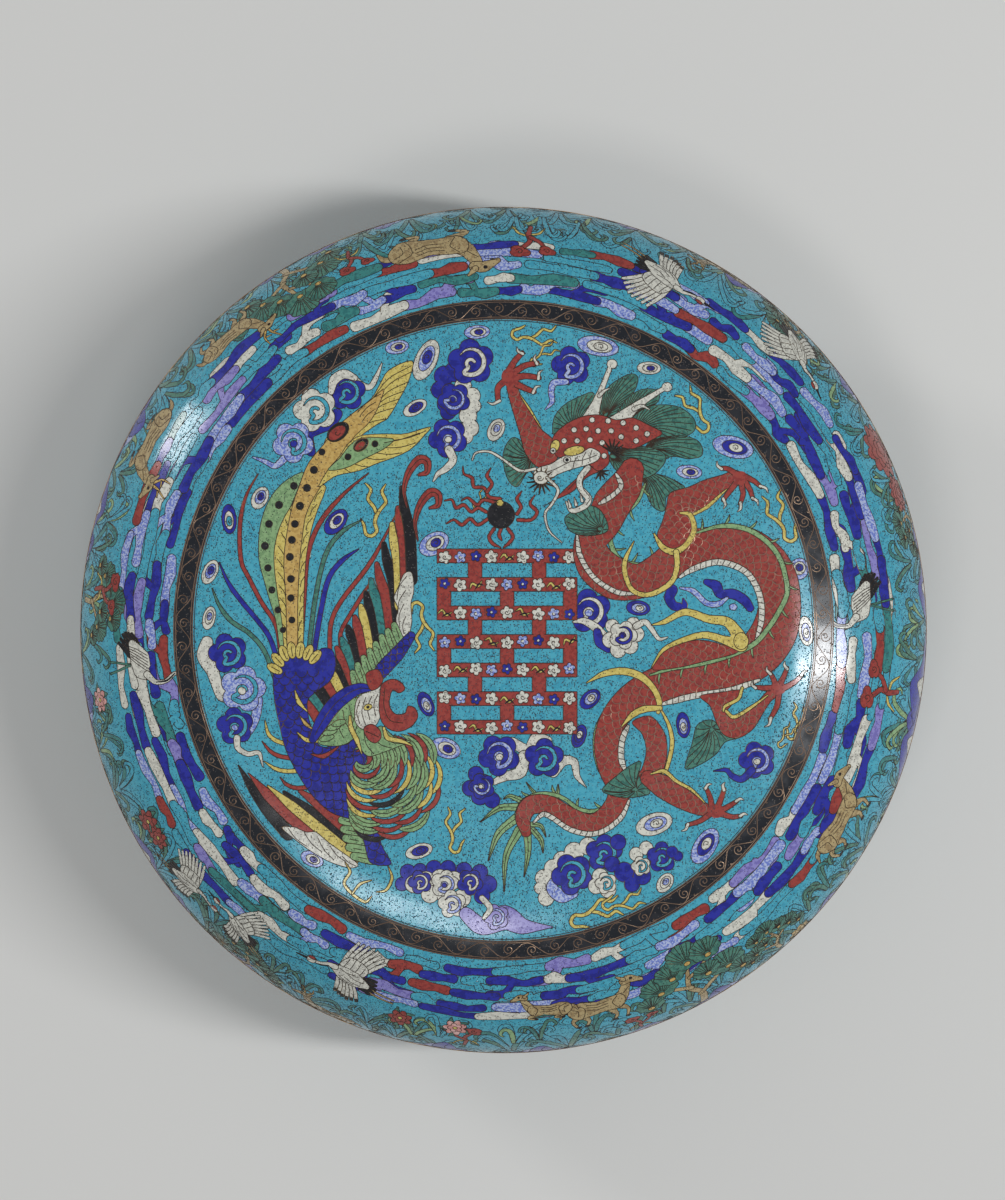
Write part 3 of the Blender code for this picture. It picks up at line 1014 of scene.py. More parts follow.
def dragon(d):
    """The dragon on the right, reaching for the pearl."""
    for outline, root in (
        ([(553, 434), (554, 418), (564, 405), (579, 397), (593, 393), (594, 410), (580, 424), (562, 434)],
         (574, 428)),
        ([(594, 418), (602, 396), (613, 383), (630, 374), (638, 378), (634, 392), (624, 404), (610, 420)],
         (604, 418)),
        ([(616, 420), (624, 402), (640, 390), (656, 390), (659, 400), (648, 410), (636, 422)], (626, 420)),
        ([(630, 424), (642, 410), (656, 405), (679, 407), (694, 419), (694, 431), (680, 438), (655, 440)],
         (636, 428)),
        ([(646, 446), (660, 438), (683, 436), (699, 442), (702, 455), (689, 459), (670, 457), (646, 470)],
         (644, 448)),
        ([(645, 474), (664, 476), (685, 488), (667, 496), (664, 511), (652, 506), (644, 486)], (640, 468)),
        ([(610, 454), (636, 446), (662, 452), (664, 464), (646, 478), (618, 472)], (610, 456)),
        ([(503, 454), (512, 438), (524, 444), (536, 464), (526, 474), (517, 487), (507, 478)], (532, 458)),
    ):
        mane_lock(d, outline, root)

    spine = [
        (632, 470), (625, 486), (612, 504), (604, 522), (590, 542), (596, 564), (616, 579), (640, 581),
        (660, 570), (684, 552), (710, 545), (742, 545), (768, 563), (780, 592), (774, 632), (750, 660),
        (712, 673), (676, 680), (648, 690), (626, 704), (611, 724), (606, 746), (610, 768), (618, 788),
        (616, 803), (604, 818), (589, 824), (569, 817), (549, 805), (531, 805), (523, 817), (526, 832)]
    widths = [
        24, 34, 38, 34, 32, 40, 42, 34, 34, 36, 36, 38, 40, 40, 46, 45, 41, 40, 36, 30, 26, 24, 23, 22, 21,
        20, 20, 20, 19, 19, 16, 10]
    fringe(d, [
        (645, 484), (637, 501), (619, 519), (611, 536), (611, 545), (617, 557), (627, 563), (641, 565),
        (655, 558), (664, 549)], 5.0, 11, -1)
    for points, size in (
        ([(522, 801), (510, 796), (503, 799)], [6, 4, 0.8]),
        ([(518, 807), (499, 808), (480, 822)], [8, 6, 0.8]),
        ([(516, 818), (498, 834), (488, 861)], [9, 7, 0.8]),
        ([(519, 830), (506, 856), (504, 892)], [9, 6, 0.8]),
        ([(527, 830), (528, 852), (524, 877)], [8, 6, 0.8]),
        ([(531, 828), (541, 840), (543, 853)], [6, 5, 0.8]),
        ([(532, 824), (541, 826), (546, 837)], [5, 4, 0.8]),
        ([(538, 797), (532, 790), (526, 782)], [5, 3, 0.8]),
        ([(556, 797), (558, 790), (558, 784)], [5, 3, 0.8]),
    ):
        cell = d.band(points, size, "sage", 0.8, 1.2)
        d.curve(points, 0.45, cell)
    fringe(d, [
        (643, 680), (622, 692), (607, 709), (597, 728), (595, 747), (598, 764), (604, 780)], 4.6, 10, -1,
        every=30)
    fringe(d, [
        (607, 806), (594, 811), (579, 809), (565, 799), (552, 794), (537, 794), (523, 801), (515, 814)],
        4.0, 8, 1, every=26)
    body = d.band(spine, widths, "red")
    scales(d, body, spine, widths, 10.2)
    belly(d, [(616, 474), (621, 486), (612, 496), (599, 504)], 5.0)
    belly(d, [(577, 536), (580, 556), (594, 578), (616, 592), (634, 594)], 5.2)
    belly(d, [
        (680, 577), (693, 569), (718, 562), (743, 570), (755, 584), (761, 602), (761, 622), (756, 640)],
        6.2)
    belly(d, [(662, 704), (693, 696), (731, 690), (759, 680)], 6.2)
    belly(d, [(628, 726), (622, 740), (621, 758), (625, 770)], 6.0)
    belly(d, [
        (629, 800), (622, 816), (607, 829), (590, 834), (569, 829), (553, 818), (543, 814), (534, 822)],
        5.2)
    fringe(d, [
        (696, 533), (721, 526), (746, 529), (766, 541), (779, 557), (785, 575), (787, 594), (778, 613),
        (769, 627), (754, 644), (731, 655), (703, 663), (674, 668), (650, 675)], 5.2, 10, -1)

    strip = d.shape([
        (652, 669), (663, 652), (680, 643), (700, 640), (720, 644), (738, 652), (702, 662), (675, 668)],
        "red", 0.85)
    scales(d, strip, [(655, 660), (695, 652), (735, 650)], [16, 22, 12], 10.0)
    d.band([
        (651, 625), (664, 622), (685, 612), (708, 619), (727, 622), (739, 636)], [1, 5, 7, 8, 10, 13],
        "yellow")
    d.band([
        (651, 668), (664, 649), (689, 638), (706, 635), (724, 640), (741, 645)], [1, 4, 6, 7, 8, 14],
        "yellow")
    d.oval(738, 640, 9, 9, "yellow", 0.0)
    d.oval(741, 641, 7.5, 8.5, "yellow", 0.7)

    hind = [
        (650, 716), (664, 732), (667, 750), (664, 768), (654, 782), (640, 788), (634, 780), (642, 768),
        (646, 750), (642, 734), (632, 722)]
    cell = d.shape(hind, "red")
    scales(d, cell, [(642, 716), (656, 740), (656, 765), (644, 784)], [26, 24, 24, 20], 9.8)
    mane_lock(d, [
        (602, 790), (616, 776), (632, 764), (641, 762), (639, 776), (650, 792), (636, 797), (618, 797)],
        (636, 790), 5)
    shin = [(648, 778), (662, 786), (680, 797), (698, 807), (714, 812)]
    cell = d.band(shin, [16, 23, 22, 16, 9], "red")
    scales(d, cell, shin, [16, 23, 22, 16, 9], 9.4)
    paw(d, (716, 811, 9, 7), (
        ([(712, 808), (710, 797), (706, 788)], [6, 5, 4], (712, 784)),
        ([(718, 806), (722, 796), (724, 789)], [6, 5, 4], (725, 782)),
        ([(722, 810), (731, 805), (737, 801)], [6, 5, 4], (744, 800)),
        ([(722, 814), (732, 817), (741, 816)], [6, 5, 4], (748, 815)),
        ([(710, 814), (700, 821), (687, 825)], [6, 5, 4], (681, 831)),
    ))
    d.band([(661, 710), (669, 726), (672, 744), (667, 767), (663, 773)], [2, 4, 4.5, 4, 3], "yellow", 0.85)
    d.band([
        (650, 774), (664, 771), (676, 781), (692, 790), (705, 803)], [1.5, 4.4, 3.6, 3.2, 1.5], "yellow",
        0.85)
    d.band([
        (586, 683), (603, 674), (622, 671), (640, 676), (653, 688), (659, 701), (658, 712)],
        [1, 6, 7.5, 7.5, 6, 6, 4], "yellow")
    d.band([(660, 708), (644, 709), (632, 715), (621, 727)], [5, 7, 6, 1], "yellow", 0.9)

    mane_lock(d, [
        (712, 720), (697, 725), (692, 743), (685, 768), (699, 765), (716, 754), (725, 742), (740, 737),
        (724, 732)], (712, 728), 5)
    thigh = smooth([
        (700, 696), (710, 706), (716, 722), (724, 735), (738, 738), (753, 729), (763, 713), (771, 701),
        (780, 694), (776, 685), (768, 690), (757, 702), (745, 712), (733, 718), (727, 711), (736, 700),
        (741, 690), (722, 692)], True)
    cell = d.cell(thigh, "red")
    scales(d, cell, [(712, 692), (722, 718), (742, 728), (762, 708), (776, 690)], [24, 28, 24, 16, 10], 9.8)
    d.band([(742, 688), (738, 699), (725, 706), (723, 712)], [3.4, 3.6, 3.4, 1.5], "yellow", 0.85)
    d.band([(726, 711), (734, 717), (750, 708), (768, 695)], [3.4, 4, 3.6, 1.5], "yellow", 0.85)
    paw(d, (778, 688, 8, 7), (
        ([(776, 686), (773, 678), (770, 673)], [6, 5, 4], (767, 666)),
        ([(780, 684), (784, 676), (787, 668)], [6, 5, 4], (785, 661)),
        ([(784, 688), (795, 682), (802, 675)], [6, 5, 4], (808, 671)),
        ([(772, 688), (762, 688), (755, 687)], [6, 5, 4], (752, 681)),
        ([(779, 692), (777, 706), (770, 719)], [6, 5.5, 4], (764, 727)),
    ))

    arm = smooth([
        (670, 493), (689, 487), (704, 480), (722, 475), (735, 470), (743, 476), (738, 485), (728, 489),
        (716, 498), (706, 507), (692, 516), (692, 530), (686, 543), (674, 551), (662, 546), (657, 535),
        (662, 522), (666, 508)], True)
    cell = d.cell(arm, "red")
    scales(d, cell, [(674, 548), (674, 526), (680, 504), (704, 492), (736, 478)], [34, 34, 34, 24, 14], 9.8)
    paw(d, (740, 478, 8, 7), (
        ([(736, 474), (728, 469), (721, 468)], [6, 5, 4], (717, 461)),
        ([(744, 476), (754, 481), (761, 487)], [6, 5, 4], (768, 493)),
        ([(744, 480), (750, 490), (753, 499)], [6, 5, 4], (758, 506)),
        ([(741, 483), (743, 494), (740, 504)], [6, 5, 4], (737, 512)),
        ([(736, 483), (729, 492), (723, 500)], [6, 5, 4], (723, 509)),
    ))
    d.band([(694, 514), (707, 507), (718, 497), (727, 489)], [3, 3.6, 3.2, 1.2], "yellow", 0.85)
    d.band([
        (680, 513), (690, 515), (694, 530), (686, 545), (674, 552), (662, 547), (654, 534)],
        [2, 5, 5.5, 5.5, 7, 6, 2], "yellow")
    d.band([
        (676, 552), (677, 566), (672, 581), (659, 591), (645, 595), (632, 590), (625, 575), (625, 560),
        (634, 541)], [6, 5.5, 5.5, 5.5, 5, 5, 5, 5, 1], "yellow")
    mane_lock(d, [
        (566, 516), (584, 506), (600, 510), (608, 530), (590, 536), (573, 533), (566, 525)], (602, 530), 5)

    raised = smooth([
        (507, 390), (513, 412), (520, 435), (526, 455), (540, 468), (557, 459), (554, 441), (541, 429),
        (529, 410), (520, 394), (516, 384), (508, 384)], True)
    cell = d.cell(raised, "red")
    scales(d, cell, [(512, 388), (524, 420), (542, 460)], [14, 26, 40], 9.8)
    d.band([(520, 395), (530, 410), (541, 428)], [1, 2.6, 1], "yellow", 0.7)
    paw(d, (510, 378, 8.5, 10, -20), (
        ([(508, 374), (514, 362), (522, 353)], [8, 6, 5], (517, 347)),
        ([(512, 374), (524, 366), (537, 363)], [7, 6, 5], (536, 354)),
        ([(512, 378), (526, 376), (539, 378)], [7, 6, 5], (543, 370)),
        ([(512, 382), (524, 388), (534, 392)], [7, 6, 5], (541, 386)),
        ([(506, 380), (498, 388), (498, 401)], [7, 6, 5], (487, 402)),
    ))

    for points, size, knob in (
        ([(590, 420), (596, 404), (602, 388), (611, 365)], [17, 9, 5.5, 4.5], (612, 364)),
        ([(616, 424), (634, 408), (650, 397), (665, 388)], [18, 9, 5.5, 4.5], (667, 387)),
    ):
        d.band(points, size, "white")
        d.oval(*knob, 5.2, 4.8, "white", 0.85)
        d.band([points[2], points[3]], [4.6, 3.6], "white", 0.0)
    d.band([(599, 396), (604, 391), (610, 388)], [4, 3, 1], "white", 0.7)
    d.band([(634, 409), (642, 406), (650, 410)], [5, 3.6, 1], "white", 0.7)

    mouth = d.shape([
        (588, 462), (579, 476), (568, 486), (556, 498), (545, 506), (555, 500), (572, 492), (586, 478),
        (600, 470)], "red", 0.85)
    d.line([(588, 468), (568, 490)], 0.5, mouth)
    jaw = [(588, 468), (580, 478), (580, 488), (588, 498), (585, 506), (572, 511), (566, 502)]
    d.band(jaw, [6, 6, 6, 7, 6, 5, 2], "white", 0.85)
    d.curve([(584, 474), (583, 488), (590, 498), (586, 505)], 0.6)
    for x, y in ((576, 503), (582, 499), (570, 505)):
        d.band([(x, y + 2), (x - 2, y - 6)], [3.4, 0.6], "white", 0.6)
    d.shape([
        (552, 440), (562, 427), (581, 417), (600, 415), (616, 420), (633, 418), (648, 425), (662, 433),
        (650, 441), (633, 449), (618, 447), (608, 449), (609, 463), (598, 471), (586, 462), (572, 455),
        (557, 457)], "red")
    for x, y in (
        (564, 441), (574, 430), (577, 441), (586, 429), (590, 440), (592, 420), (598, 431), (611, 431),
        (608, 421), (623, 423), (621, 437), (636, 428), (647, 434), (636, 441), (602, 443), (604, 456),
    ):
        d.oval(x, y, 2.9, 2.9, "white", 0.75, count=12)
    tuft(d, 612, 452, 13, 9, -150, 40)
    tuft(d, 600, 472, 9, 5, -10, 120)
    snout = d.shape([
        (600, 453), (590, 448), (580, 454), (568, 455), (560, 458), (551, 464), (538, 468), (533, 476),
        (543, 483), (557, 475), (573, 469), (588, 465), (598, 460)], "white")
    d.curve([(597, 455), (584, 460), (570, 462), (556, 469), (545, 473)], 0.6, snout)
    strokes(d, snout, [(592, 450), (586, 452), (578, 456)], [(590, 462), (582, 465), (573, 468)], 0.1)
    d.oval(574, 451, 10.5, 4.6, "yellow", 0.85, -12)
    d.oval(555, 446, 4.4, 6.4, "yellow", 0.85, 20)
    d.oval(553, 451, 3.0, 3.0, "white", 0.7)
    d.oval(553, 451, 1.3, 1.3, "black", 0.0, count=10)
    d.oval(567, 460, 3.8, 3.0, "white", 0.7, -10)
    d.oval(567, 460, 1.9, 1.9, "black", 0.0, count=10)
    tuft(d, 541, 481, 14, 15, 0, 345)
    d.oval(541, 478, 7.5, 6.5, "white", 0.85)
    d.line(spiral(540, 478, 3.6, 1.2), 0.6)
    for points in (
        [(535, 469), (520, 471), (505, 461), (490, 452), (476, 453), (472, 461)],
        [(547, 478), (558, 490), (552, 504), (545, 514), (549, 531), (562, 543)],
    ):
        d.band(points, [3.2, 3.2, 2.8, 2.6, 2.2, 1.2], "white", 0.7, 1.2)


def pearl(d):
    """The flaming pearl between them."""
    for points in (
        [(500, 499), (489, 497), (484, 488), (474, 487), (472, 478), (464, 474), (463, 466)],
        [(496, 503), (484, 500), (477, 505), (468, 498), (461, 501)],
        [(487, 492), (492, 484), (487, 476), (491, 468)],
        [(488, 519), (478, 525), (470, 519), (462, 525), (454, 520), (446, 524)],
        [(486, 512), (478, 508), (471, 512), (464, 505), (456, 508), (452, 500), (444, 501)],
        [(517, 514), (521, 507), (517, 499), (522, 491)],
        [(518, 520), (531, 520), (537, 512), (530, 504), (535, 495)],
        [(494, 529), (489, 537), (493, 544), (501, 548)],
        [(508, 529), (513, 537), (508, 544), (503, 548)],
        [(501, 529), (499, 535), (502, 541)],
    ):
        flame(d, points, [3.6, 3.2, 3.6, 1.0], "red")
    d.oval(501, 515, 13.6, 13.6, "black", count=28)
    d.oval(500, 503, 3.6, 3.4, "yellow", 0.7)


def lattice(d):
    """The middle panel: a lattice of straight bars laid like bricks, with small flowers on them."""
    left, right = 437, 577
    top, pitch, thick = 556, 28.5, 14.0
    half = thick / 2
    rows = 7
    inner = 38

    def bar(x0, y0, x1, y1, wire=1.0):
        d.cell([(x0, y0), (x1, y0), (x1, y1), (x0, y1)], "red", wire)

    def uprights(inset, wire):
        """Two or three in turn between one level bar and the next."""
        for row in range(rows - 1):
            y = top + row * pitch
            odd = left + half, (left + right) / 2, right - half
            for x in odd if row % 2 else (left + inner, right - inner):
                bar(x - half + inset, y, x + half - inset, y + pitch, wire)

    uprights(0, 1.0)
    for row in range(rows):
        y = top + row * pitch
        bar(left, y - half, right, y + half)
    uprights(1.2, 0.0)
    chance = np.random.default_rng(4)
    for row in range(rows):
        y = top + row * pitch
        for number in range(9):
            x = left + (right - left) * (number + 0.5) / 9
            shift = float(chance.uniform(-1.5, 1.5))
            pick = (row * 2 + number) % 5
            if pick < 4:
                radius, petals, heart = (
                    (5.8, "white", None), (5.2, "lavender", "white"), (4.8, "cobalt", "white"),
                    (5.8, "white", None))[pick]
                blossom(d, x, y + shift, radius, float(chance.uniform(0, 70)), petals, heart)
            else:
                with d.at(x, y + shift, float(chance.uniform(-25, 25))):
                    flame(d, [(-7, 2), (-3, -2.5), (2, 2), (7, -2)], [1, 2.6, 2.6, 1], "yellow")
                    d.band([(-2, 4), (3, 0), (7, 3)], [1, 2.2, 1], "black", 0.0)


# Pixel, half sizes, turn and enamels of each oval cloud; pixel, turn, size and hand of each streamer
PEBBLES = (
    (477, 332, 13, 7, -4, "lavender", "white", "cobalt"),
    (397, 347, 12, 7, -10, "lavender", "white", "cobalt"),
    (426, 360, 22, 11, -66, "white", "lavender", "cobalt"),
    (415, 408, 13, 7, -30, "white", "cobalt", "cobalt"),
    (496, 430, 12, 8, -62, "white", "white", "lavender"),
    (598, 346, 21, 10, 10, "lavender", "white", "white"),
    (649, 368, 12, 6.5, 2, "white", "white", "cobalt"),
    (733, 447, 21, 11, 14, "lavender", "cobalt", "white"),
    (689, 472, 13, 7, 6, "lavender", "white", "cobalt"),
    (260, 498, 12, 8, -62, "white", "lavender", "cobalt"),
    (229, 519, 15, 7.5, 86, "cobalt", "white", "turquoise"),
    (336, 522, 15, 9, -50, "cobalt", "white", "cobalt"),
    (210, 572, 13, 7.5, -64, "white", "lavender", "cobalt"),
    (209, 618, 12, 6.5, -76, "white", "white", "lavender"),
    (434, 544, 16, 11, -30, "lavender", "white", "cobalt"),
    (426, 704, 13, 7.5, 66, "cobalt", "lavender", "white"),
    (446, 748, 15, 10, 22, "lavender", "white", "cobalt"),
    (312, 859, 12, 7.5, 24, "lavender", "white", "cobalt"),
    (419, 851, 14, 7.5, -16, "white", "cobalt", "cobalt"),
    (638, 608, 12, 7.5, 6, "cobalt", "lavender", "white"),
    (799, 569, 11, 10, -70, "lavender", "white", "cobalt"),
    (806, 631, 15, 7.5, 82, "white", "lavender", "white"),
    (590, 699, 12, 8, -42, "cobalt", "lavender", "white"),
    (579, 736, 12, 7, -70, "cobalt", "cobalt", "white"),
    (683, 725, 13, 7, 84, "cobalt", "lavender", "white"),
    (654, 824, 19, 11, -18, "white", "lavender", "white"),
    (705, 846, 20, 11, -58, "lavender", "cobalt", "white"),
    (665, 883, 11, 7.5, -56, "white", "white", "lavender"),
    (300, 815, 9, 5, 40, "lavender", "white", "cobalt"),
    (690, 905, 9, 5, -30, "white", "lavender", "cobalt"),
)
WISPS = (
    (377, 513, 0, 1.0, False),
    (424, 624, 176, 0.95, True),
    (532, 338, 84, 0.85, False),
    (541, 354, 60, 0.6, True),
    (699, 411, -36, 0.9, False),
    (779, 521, -18, 1.0, True),
    (452, 832, 8, 0.85, True),
    (592, 911, 76, 1.0, True),
    (622, 905, 70, 0.8, False),
    (798, 724, 10, 0.7, False),
    (784, 736, 40, 0.5, True),
    (481, 500, 20, 0.42, False),
)


def roundel_clouds(d):
    """Clouds, pebbles and ribbons that fill the ground round the two creatures."""
    d.band([(352, 378), (361, 385), (370, 387), (376, 378), (382, 363)], [9, 7, 6, 5, 1.5], "white")
    d.band([(337, 414), (330, 424), (316, 430), (309, 436), (311, 452)], [11, 10, 11, 9, 9], "cobalt")
    d.band([(285, 458), (275, 466), (264, 461), (252, 457)], [8, 6, 4.5, 1.5], "lavender")
    cloud(d, 347, 392, 17, 20, "cobalt", "turquoise")
    d.band([(331, 392), (334, 380), (344, 374), (355, 378)], [6, 10, 10, 6], "white", 0.9)
    cloud(d, 315, 410, 20, 0, "white", "turquoise")
    cloud(d, 293, 442, 19, -20, "lavender", "turquoise", "cobalt")

    d.band([
        (207, 642), (204, 656), (212, 670), (216, 682), (222, 696), (232, 700)], [12, 15, 13, 11, 11, 6],
        "white")
    cloud(d, 228, 653, 18, 0, "cobalt", "turquoise")
    d.band([(258, 700), (256, 716), (250, 730), (242, 738)], [10, 9, 8, 5], "lavender")
    cloud(d, 243, 689, 21, 30, "lavender", "turquoise", "white")
    cloud(d, 235, 726, 17, 10, "cobalt", "turquoise", "lavender")
    d.band([(237, 738), (238, 748), (248, 754), (259, 753), (263, 767)], [7, 6, 5, 4.5, 1], "white")

    lumps(d, [(444, 376, 10), (440, 390, 9), (446, 404, 9), (454, 372, 10), (448, 412, 8)], "cobalt")
    lumps(d, [
        (463, 386, 8.5), (472, 396, 8.5), (474, 406, 7), (468, 416, 9), (470, 428, 9), (466, 437, 7)],
        "white")
    cloud(d, 471, 362, 21, 12, "cobalt", "white")
    cloud(d, 454, 399, 15, 60, "cobalt", "lavender", "cobalt")
    cloud(d, 448, 438, 18, -10, "cobalt", "lavender", "white")
    d.band([(449, 450), (453, 460), (446, 469), (438, 474), (433, 482)], [9, 8, 7, 5, 1.5], "white")

    cloud(d, 571, 366, 18, 8, "cobalt", "lavender")
    d.band([(566, 382), (554, 383), (551, 392), (552, 402), (545, 410)], [6, 7, 6, 5, 1.2], "lavender")
    cloud(d, 589, 611, 20, 10, "cobalt", "white", "lavender")
    d.band([(573, 622), (584, 621), (596, 628), (606, 638)], [2, 7, 9, 8], "white")
    d.band([(597, 632), (600, 642), (608, 650)], [8, 11, 6], "cobalt")
    lumps(d, [
        (612, 626, 7), (610, 640, 8), (618, 650, 8), (630, 646, 8), (636, 634, 8), (633, 624, 7)], "white")
    cloud(d, 623, 635, 13, 40, "white", "cobalt", "cobalt")
    d.band([(636, 626), (645, 622), (652, 630), (659, 639), (668, 637)], [7, 6, 5, 4, 1], "white")
    d.band([(672, 590), (669, 598), (674, 606), (684, 606), (683, 599)], [11, 10, 9, 7, 2], "cobalt")
    d.band([
        (706, 582), (716, 586), (720, 594), (733, 594), (744, 600), (750, 608)], [6, 11, 9, 10, 10, 8],
        "cobalt")
    d.band([
        (680, 588), (693, 591), (706, 603), (718, 604), (727, 598)], [2, 5.6, 5.6, 6, 3], "lavender", 0.85)
    d.oval(733, 607, 4, 3.4, "lavender", 0.8)

    cloud(d, 757, 760, 17, 0, "cobalt", "lavender", "white")
    d.band([(752, 770), (742, 779), (732, 776), (726, 770), (713, 771)], [8, 7, 6, 4.5, 1], "cobalt")

    d.band([(512, 742), (528, 750), (536, 738), (548, 740)], [10, 11, 11, 8], "white")
    d.band([(524, 756), (520, 772), (506, 776), (494, 782)], [12, 12, 9, 6], "white")
    d.band([(553, 772), (563, 761), (574, 762), (577, 776), (586, 787)], [11, 10, 8, 6, 1], "white")
    cloud(d, 499, 755, 19, -14, "cobalt", "lavender", "white")
    cloud(d, 544, 758, 18, 20, "cobalt", "turquoise")
    lumps(d, [(476, 774, 8), (484, 782, 8), (480, 796, 9), (492, 800, 8), (470, 788, 8)], "cobalt")
    cloud(d, 482, 786, 12, 70, "cobalt", "lavender", "white")

    lumps(d, [
        (402, 884, 7), (408, 872, 8), (420, 870, 7), (434, 868, 8), (448, 868, 8), (464, 870, 8),
        (480, 872, 8), (488, 884, 9), (482, 896, 8)], "cobalt")
    lumps(d, [
        (414, 884, 9), (426, 880, 9), (440, 878, 9), (454, 880, 9), (470, 884, 9), (430, 894, 9),
        (446, 896, 9), (462, 898, 9)], "white")
    cloud(d, 420, 882, 11, 0, "cobalt", "white")
    cloud(d, 445, 884, 13, 30, "white", "lavender", "cobalt")
    cloud(d, 470, 882, 12, -20, "cobalt", "white")
    cloud(d, 452, 904, 13, 10, "white", "lavender")
    d.band([
        (466, 914), (482, 926), (504, 918), (522, 926), (538, 927), (553, 927)], [14, 18, 26, 17, 8, 1],
        "purple")
    cloud(d, 496, 917, 12, 0, "purple", "lavender")
    d.band([(482, 898), (490, 908), (484, 918)], [6, 6, 4], "white", 0.85)

    lumps(d, [
        (544, 878, 9), (553, 868, 9), (562, 860, 9), (574, 852, 10), (588, 846, 9), (540, 888, 6),
        (546, 898, 8)], "white")
    d.band([(556, 876), (552, 888), (562, 896), (574, 894)], [6, 12, 14, 8], "lavender")
    cloud(d, 572, 874, 19, -10, "cobalt", "turquoise")
    cloud(d, 604, 853, 17, 20, "cobalt", "turquoise")
    lumps(d, [(618, 842, 8), (612, 864, 8), (624, 872, 10), (632, 884, 8), (642, 876, 9)], "cobalt")
    lumps(d, [(600, 876, 8), (596, 886, 8), (608, 890, 8)], "white")
    cloud(d, 606, 883, 10, 0, "white", "turquoise")
    lumps(d, [(636, 854, 7), (646, 848, 7), (640, 866, 8)], "white")
    cloud(d, 641, 866, 9, 0, "white", "turquoise")
    cloud(d, 662, 857, 14, 15, "cobalt", "turquoise")
    lumps(d, [(672, 852, 6), (678, 856, 5)], "cobalt")

    for x, y, wide, high, turn, rim, middle, eye in PEBBLES:
        pebble(d, x, y, wide, high, turn, rim, middle, eye)

    for x, y, turn, size, mirrored in WISPS:
        wisp(d, x, y, turn, size, mirrored)


def roundel_drawing():
    d = Drawing("turquoise")
    roundel_clouds(d)
    lattice(d)
    pearl(d)
    phoenix(d)
    dragon(d)
    radius = 309.6
    d.line([(MIDDLE[0] + math.cos(a) * radius, MIDDLE[1] + math.sin(a) * radius)
            for a in np.linspace(0, TURN, 220)], 1.5)
    return d


# The border

def border_drawing(sheet):
    """A black band with a running vine whose tendrils curl to either side in turn."""
    d = Drawing("border black", sheet.period)
    high = sheet.high
    for inset, wire in ((0.3, 1.3), (1.25, 0.6)):
        for y in (inset, high - inset):
            d.line([(0, y), (sheet.period, y)], wire)
    count = 86
    pitch = sheet.period / count
    wave = [(x, high / 2 + math.sin(x / pitch * math.pi) * (high / 2 - 1.6))
            for x in np.linspace(0, sheet.period, count * 10 + 1)]
    d.line(wave, 0.85)
    for number in range(count):
        side = 1 if number % 2 else -1
        x = (number + 0.5) * pitch
        d.line(
            spiral(x + pitch * 0.22, high / 2 + side * 0.5, high * 0.27, 1.5, side * 100, 0.12, side), 0.8)
        d.curve([
            (x - pitch * 0.42, high / 2 + side * 2.6), (x - pitch * 0.5, high / 2 + side * 3.4),
            (x - pitch * 0.3, high / 2 + side * 3.5)], 0.6, step=0.5)
    return d


# The lid's shoulder and the bowl, drawn in millimetres with y down towards the rim

DRIFT = (
    "turquoise", "cobalt", "turquoise", "lavender", "cobalt", "red", "turquoise", "lavender", "cobalt",
    "white", "teal", "cobalt", "red", "turquoise", "white", "purple", "lavender")


def cloud_bars(d, shapes, enamel):
    """Rounded bars of one enamel that run into one another, with one wire round them all."""
    for points, widths in shapes:
        d.band(points, widths, enamel, 0.85, 1.0)
    if len(shapes) > 1:
        for points, widths in shapes:
            d.band(points, [width - 0.55 for width in widths], enamel, 0.0, 1.0)


def drifting_clouds(d, length, rows, chance, thick=5.0, gap=(2.0, 9.0)):
    """Rows of long rounded cloud bars in changing colours, some of them forked to the next row."""
    for row, y in enumerate(rows):
        x = float(chance.uniform(0, 20))
        last = None
        while x < length - 6:
            wander = float(chance.uniform(-0.9, 0.9))
            for _ in range(int(chance.integers(1, 4))):
                reach = float(chance.uniform(12, 36))
                enamel = DRIFT[int(chance.integers(len(DRIFT)))]
                if enamel == last:
                    enamel = "cobalt" if last != "cobalt" else "lavender"
                last = enamel
                onward = float(np.clip(wander + chance.uniform(-1.8, 1.8), -1.8, 1.8))
                fat = thick * float(chance.uniform(0.85, 1.15))
                bend = chance.uniform(-1.3, 1.3, 2)
                shapes = [(
                    [(x, y + wander), (x + reach * 0.33, y + wander + bend[0]),
                     (x + reach * 0.66, y + onward + bend[1]), (x + reach, y + onward)],
                    [fat * 0.95, fat * 1.2, fat * 0.78, fat * 1.05])]
                if chance.uniform() < 0.5 and row + 1 < len(rows):
                    drop = rows[row + 1] - y
                    start = x + reach * float(chance.uniform(0.2, 0.6))
                    run = float(chance.uniform(8, 20)) * (1 if chance.uniform() < 0.6 else -1)
                    shapes.append((
                        [(start, y + wander), (start + run * 0.2, y + drop * 0.5),
                         (start + run * 0.45, y + drop * 0.95), (start + run, y + drop)],
                        [fat * 0.8, fat * 0.8, fat, fat * 0.95]))
                cloud_bars(d, shapes, enamel)
                x += reach - 0.6
                wander = onward
            x += float(chance.uniform(*gap))


def feather_fan(d, roots, tips, count, widths, enamel="white", wire=0.6, tipped=None):
    """Long feathers side by side, from one line of roots to one line of tips."""
    def spot(line, share):
        marks = np.linspace(0, 1, len(line))
        return np.array([np.interp(share, marks, values) for values in zip(*line)])

    for share in np.linspace(0, 1, count):
        root, tip = spot(roots, share), spot(tips, share)
        way = tip - root
        middle = (root + tip) / 2 + np.array([-way[1], way[0]]) * 0.05
        d.band([root, middle, tip], [widths[0], widths[1], widths[2]], enamel, wire, 0.8)
        if tipped:
            d.band([root + way * 0.82, tip], [widths[2] * 0.8, widths[2] * 0.9], tipped, 0.4, 0.8)


